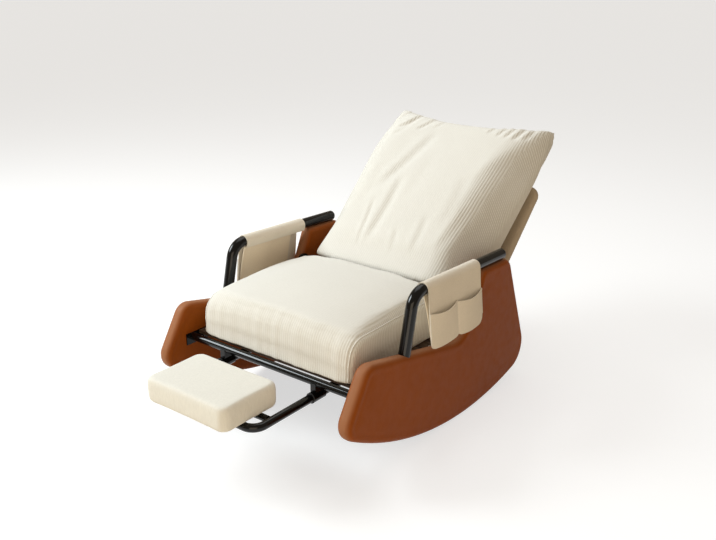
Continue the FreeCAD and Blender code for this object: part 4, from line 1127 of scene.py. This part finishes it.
def flap_drop(along):
    """How far the outer flap hangs: it sags under each pocket, with a nick between and round corners."""
    sag = 3.5 * MM * np.sin(np.clip(pocket_half(along), 0, 1) * math.pi)
    nick = 4 * MM * bell(along, 7 * MM)
    rear = round_corner(along, 30 * MM, 26 * MM)
    front = round_corner(-along, 13 * MM, 11 * MM)
    return FLAP_DROP + sag - nick - rear - front


def round_corner(along, length, height):
    """How much a round corner takes off the flap's foot, over its last length."""
    share = np.clip((along - CADDY_HALF + length) / length, 0, 1)
    return height * (1 - np.sqrt(1 - share ** 2))


def flap_across(along, down):
    """How far out the outer flap stands, with soft waves below."""
    share = down / FLAP_DROP
    wave = 1.6 * MM * share ** 2 * np.sin(along * 38 + 0.7)
    return SLEEVE_RADIUS + FLAP_FLARE * share ** 1.2 + wave


class CHAIR_OT_arm_caddies(bpy.types.Operator):
    """Make the canvas sleeves over the arms, their linings and their pockets"""

    bl_idname = "chair.arm_caddies"
    bl_label = "Arm caddies"

    def execute(self, context):
        thick = sizes().canvas_thick
        for name, side in (("right", 1), ("left", -1)):
            sleeve = grid_sheet("sleeve", 96, 110, lambda u, v: self.sleeve(side, u, v))
            lining = grid_sheet("lining", 60, 44, lambda u, v: self.lining(side, u, v))
            pockets = grid_sheet("pockets", 110, 40, lambda u, v: self.pockets(side, u, v))
            tube, caddy = "arm_tube_" + name, "arm_caddy_" + name
            self.finish(sleeve, caddy + "_canvas", caddy, (0.28, 0.252), [tube], thick)
            self.finish(lining, caddy + "_lining", caddy, (0.226, 0.158), [sleeve.name],
                        thick * 0.8, "lining")
            self.finish(pockets, "caddy_pockets_" + name + "_canvas", "caddy_pockets_" + name,
                        (0.285, 0.106), [sleeve.name], thick)
        return {"FINISHED"}

    def finish(self, piece, name, node, flat, rests_on, thick, cloth="canvas"):
        thicken(piece, thick)
        smooth(piece)
        settle(piece, name, "chair", [node], material_of(cloth))

    def sleeve(self, side, u, v):
        """The cloth from its hem under the tube, over the tube and down to the flap's foot."""
        along = (u - 0.5) * 2 * CADDY_HALF
        turn = v / ROUND_TUBE * (math.pi + HEM_TURN) - HEM_TURN
        below = np.clip(-turn / HEM_TURN, 0, 1)
        wave = 0.5 * MM * np.sin(along * 60) * np.sin(v * 20)
        radius = SLEEVE_RADIUS + 4.5 * MM * below ** 2 + wave * below
        on_tube = np.minimum(turn, math.pi)
        down = np.clip((v - ROUND_TUBE) / (1 - ROUND_TUBE), 0, 1) * flap_drop(along)
        hem = 0.7 * MM * (1 - ease(8 * MM, 9.5 * MM, CADDY_HALF - np.abs(along)))
        flap = flap_across(along, down) + np.where(v > ROUND_TUBE, hem, 0)
        across = np.where(v < ROUND_TUBE, -radius * np.cos(on_tube), flap)
        up = np.where(v < ROUND_TUBE, radius * np.sin(on_tube), -down)
        return on_arm(side, along + FLAP_SLANT * (down / FLAP_DROP), across, up)

    def lining(self, side, u, v):
        """The inner cloth, from under the tube to the outer flap's foot, short of its rear edge."""
        along = (u - 0.5) * 224 * MM - 22 * MM
        down = 21 * MM + v * (flap_drop(along) - 27 * MM)
        foot = flap_across(along, FLAP_DROP - 6 * MM) - 3.2 * MM
        share = v ** 0.9
        across = (1 - share) * 1 * MM + share * foot + 1.5 * MM * np.sin(along * 30) * np.sin(v * math.pi)
        return on_arm(side, along + 4 * MM * v, across, -down)

    def pockets(self, side, u, v):
        """Two bowed pockets side by side with sagging mouths, sewn at the ends, the middle and the foot."""
        along = (u - 0.5) * 2 * CADDY_HALF * 1.012 + 1 * MM
        half = np.clip(pocket_half(along), 0, 1)
        bow = np.sin(half * math.pi) ** 0.8
        mouth = MOUTH_DOWN + 7 * MM * np.sin(half * math.pi) - 3 * MM * half
        down = mouth + (1 - v) * (flap_drop(along) - 1 * MM - mouth)
        gape = (2.6 + 10.5 * bow * v ** 0.8 + 6 * bow * (1 - 0.6 * v)) * MM
        hem = 0.6 * MM * ease(0.88, 0.91, v)
        across = flap_across(along, down) + gape + hem
        return on_arm(side, along + FLAP_SLANT * (down / FLAP_DROP), across, -down)


class CHAIR_PT_panel(bpy.types.Panel):
    """The chair's tools in the sidebar"""

    bl_label = "Rocking Armchair"
    bl_space_type = "VIEW_3D"
    bl_region_type = "UI"
    bl_category = "Armchair"

    def draw(self, context):
        layout = self.layout
        for group in (context.scene.chair_sizes, context.scene.chair_colours):
            for key in group.__annotations__:
                layout.prop(group, key)
        for operator in OPERATORS:
            layout.operator(operator.bl_idname)


OPERATORS = (
    CHAIR_OT_stage,
    CHAIR_OT_frame,
    CHAIR_OT_rocker_sides,
    CHAIR_OT_seat_cushion,
    CHAIR_OT_back_cushion,
    CHAIR_OT_footrest_cushion,
    CHAIR_OT_back_panel,
    CHAIR_OT_arm_caddies,
)
CLASSES = (ChairSizes, ChairColours, *OPERATORS, CHAIR_PT_panel)


def register():
    for item in CLASSES:
        bpy.utils.register_class(item)
    bpy.types.Scene.chair_sizes = PointerProperty(type=ChairSizes)
    bpy.types.Scene.chair_colours = PointerProperty(type=ChairColours)


def unregister():
    del bpy.types.Scene.chair_colours
    del bpy.types.Scene.chair_sizes
    for item in reversed(CLASSES):
        bpy.utils.unregister_class(item)


def main():
    register()
    bpy.ops.chair.stage()
    bpy.ops.chair.frame()
    bpy.ops.chair.rocker_sides()
    bpy.ops.chair.seat_cushion()
    bpy.ops.chair.back_cushion()
    bpy.ops.chair.footrest_cushion()
    bpy.ops.chair.back_panel()
    bpy.ops.chair.arm_caddies()


if __name__ == "__main__":
    main()
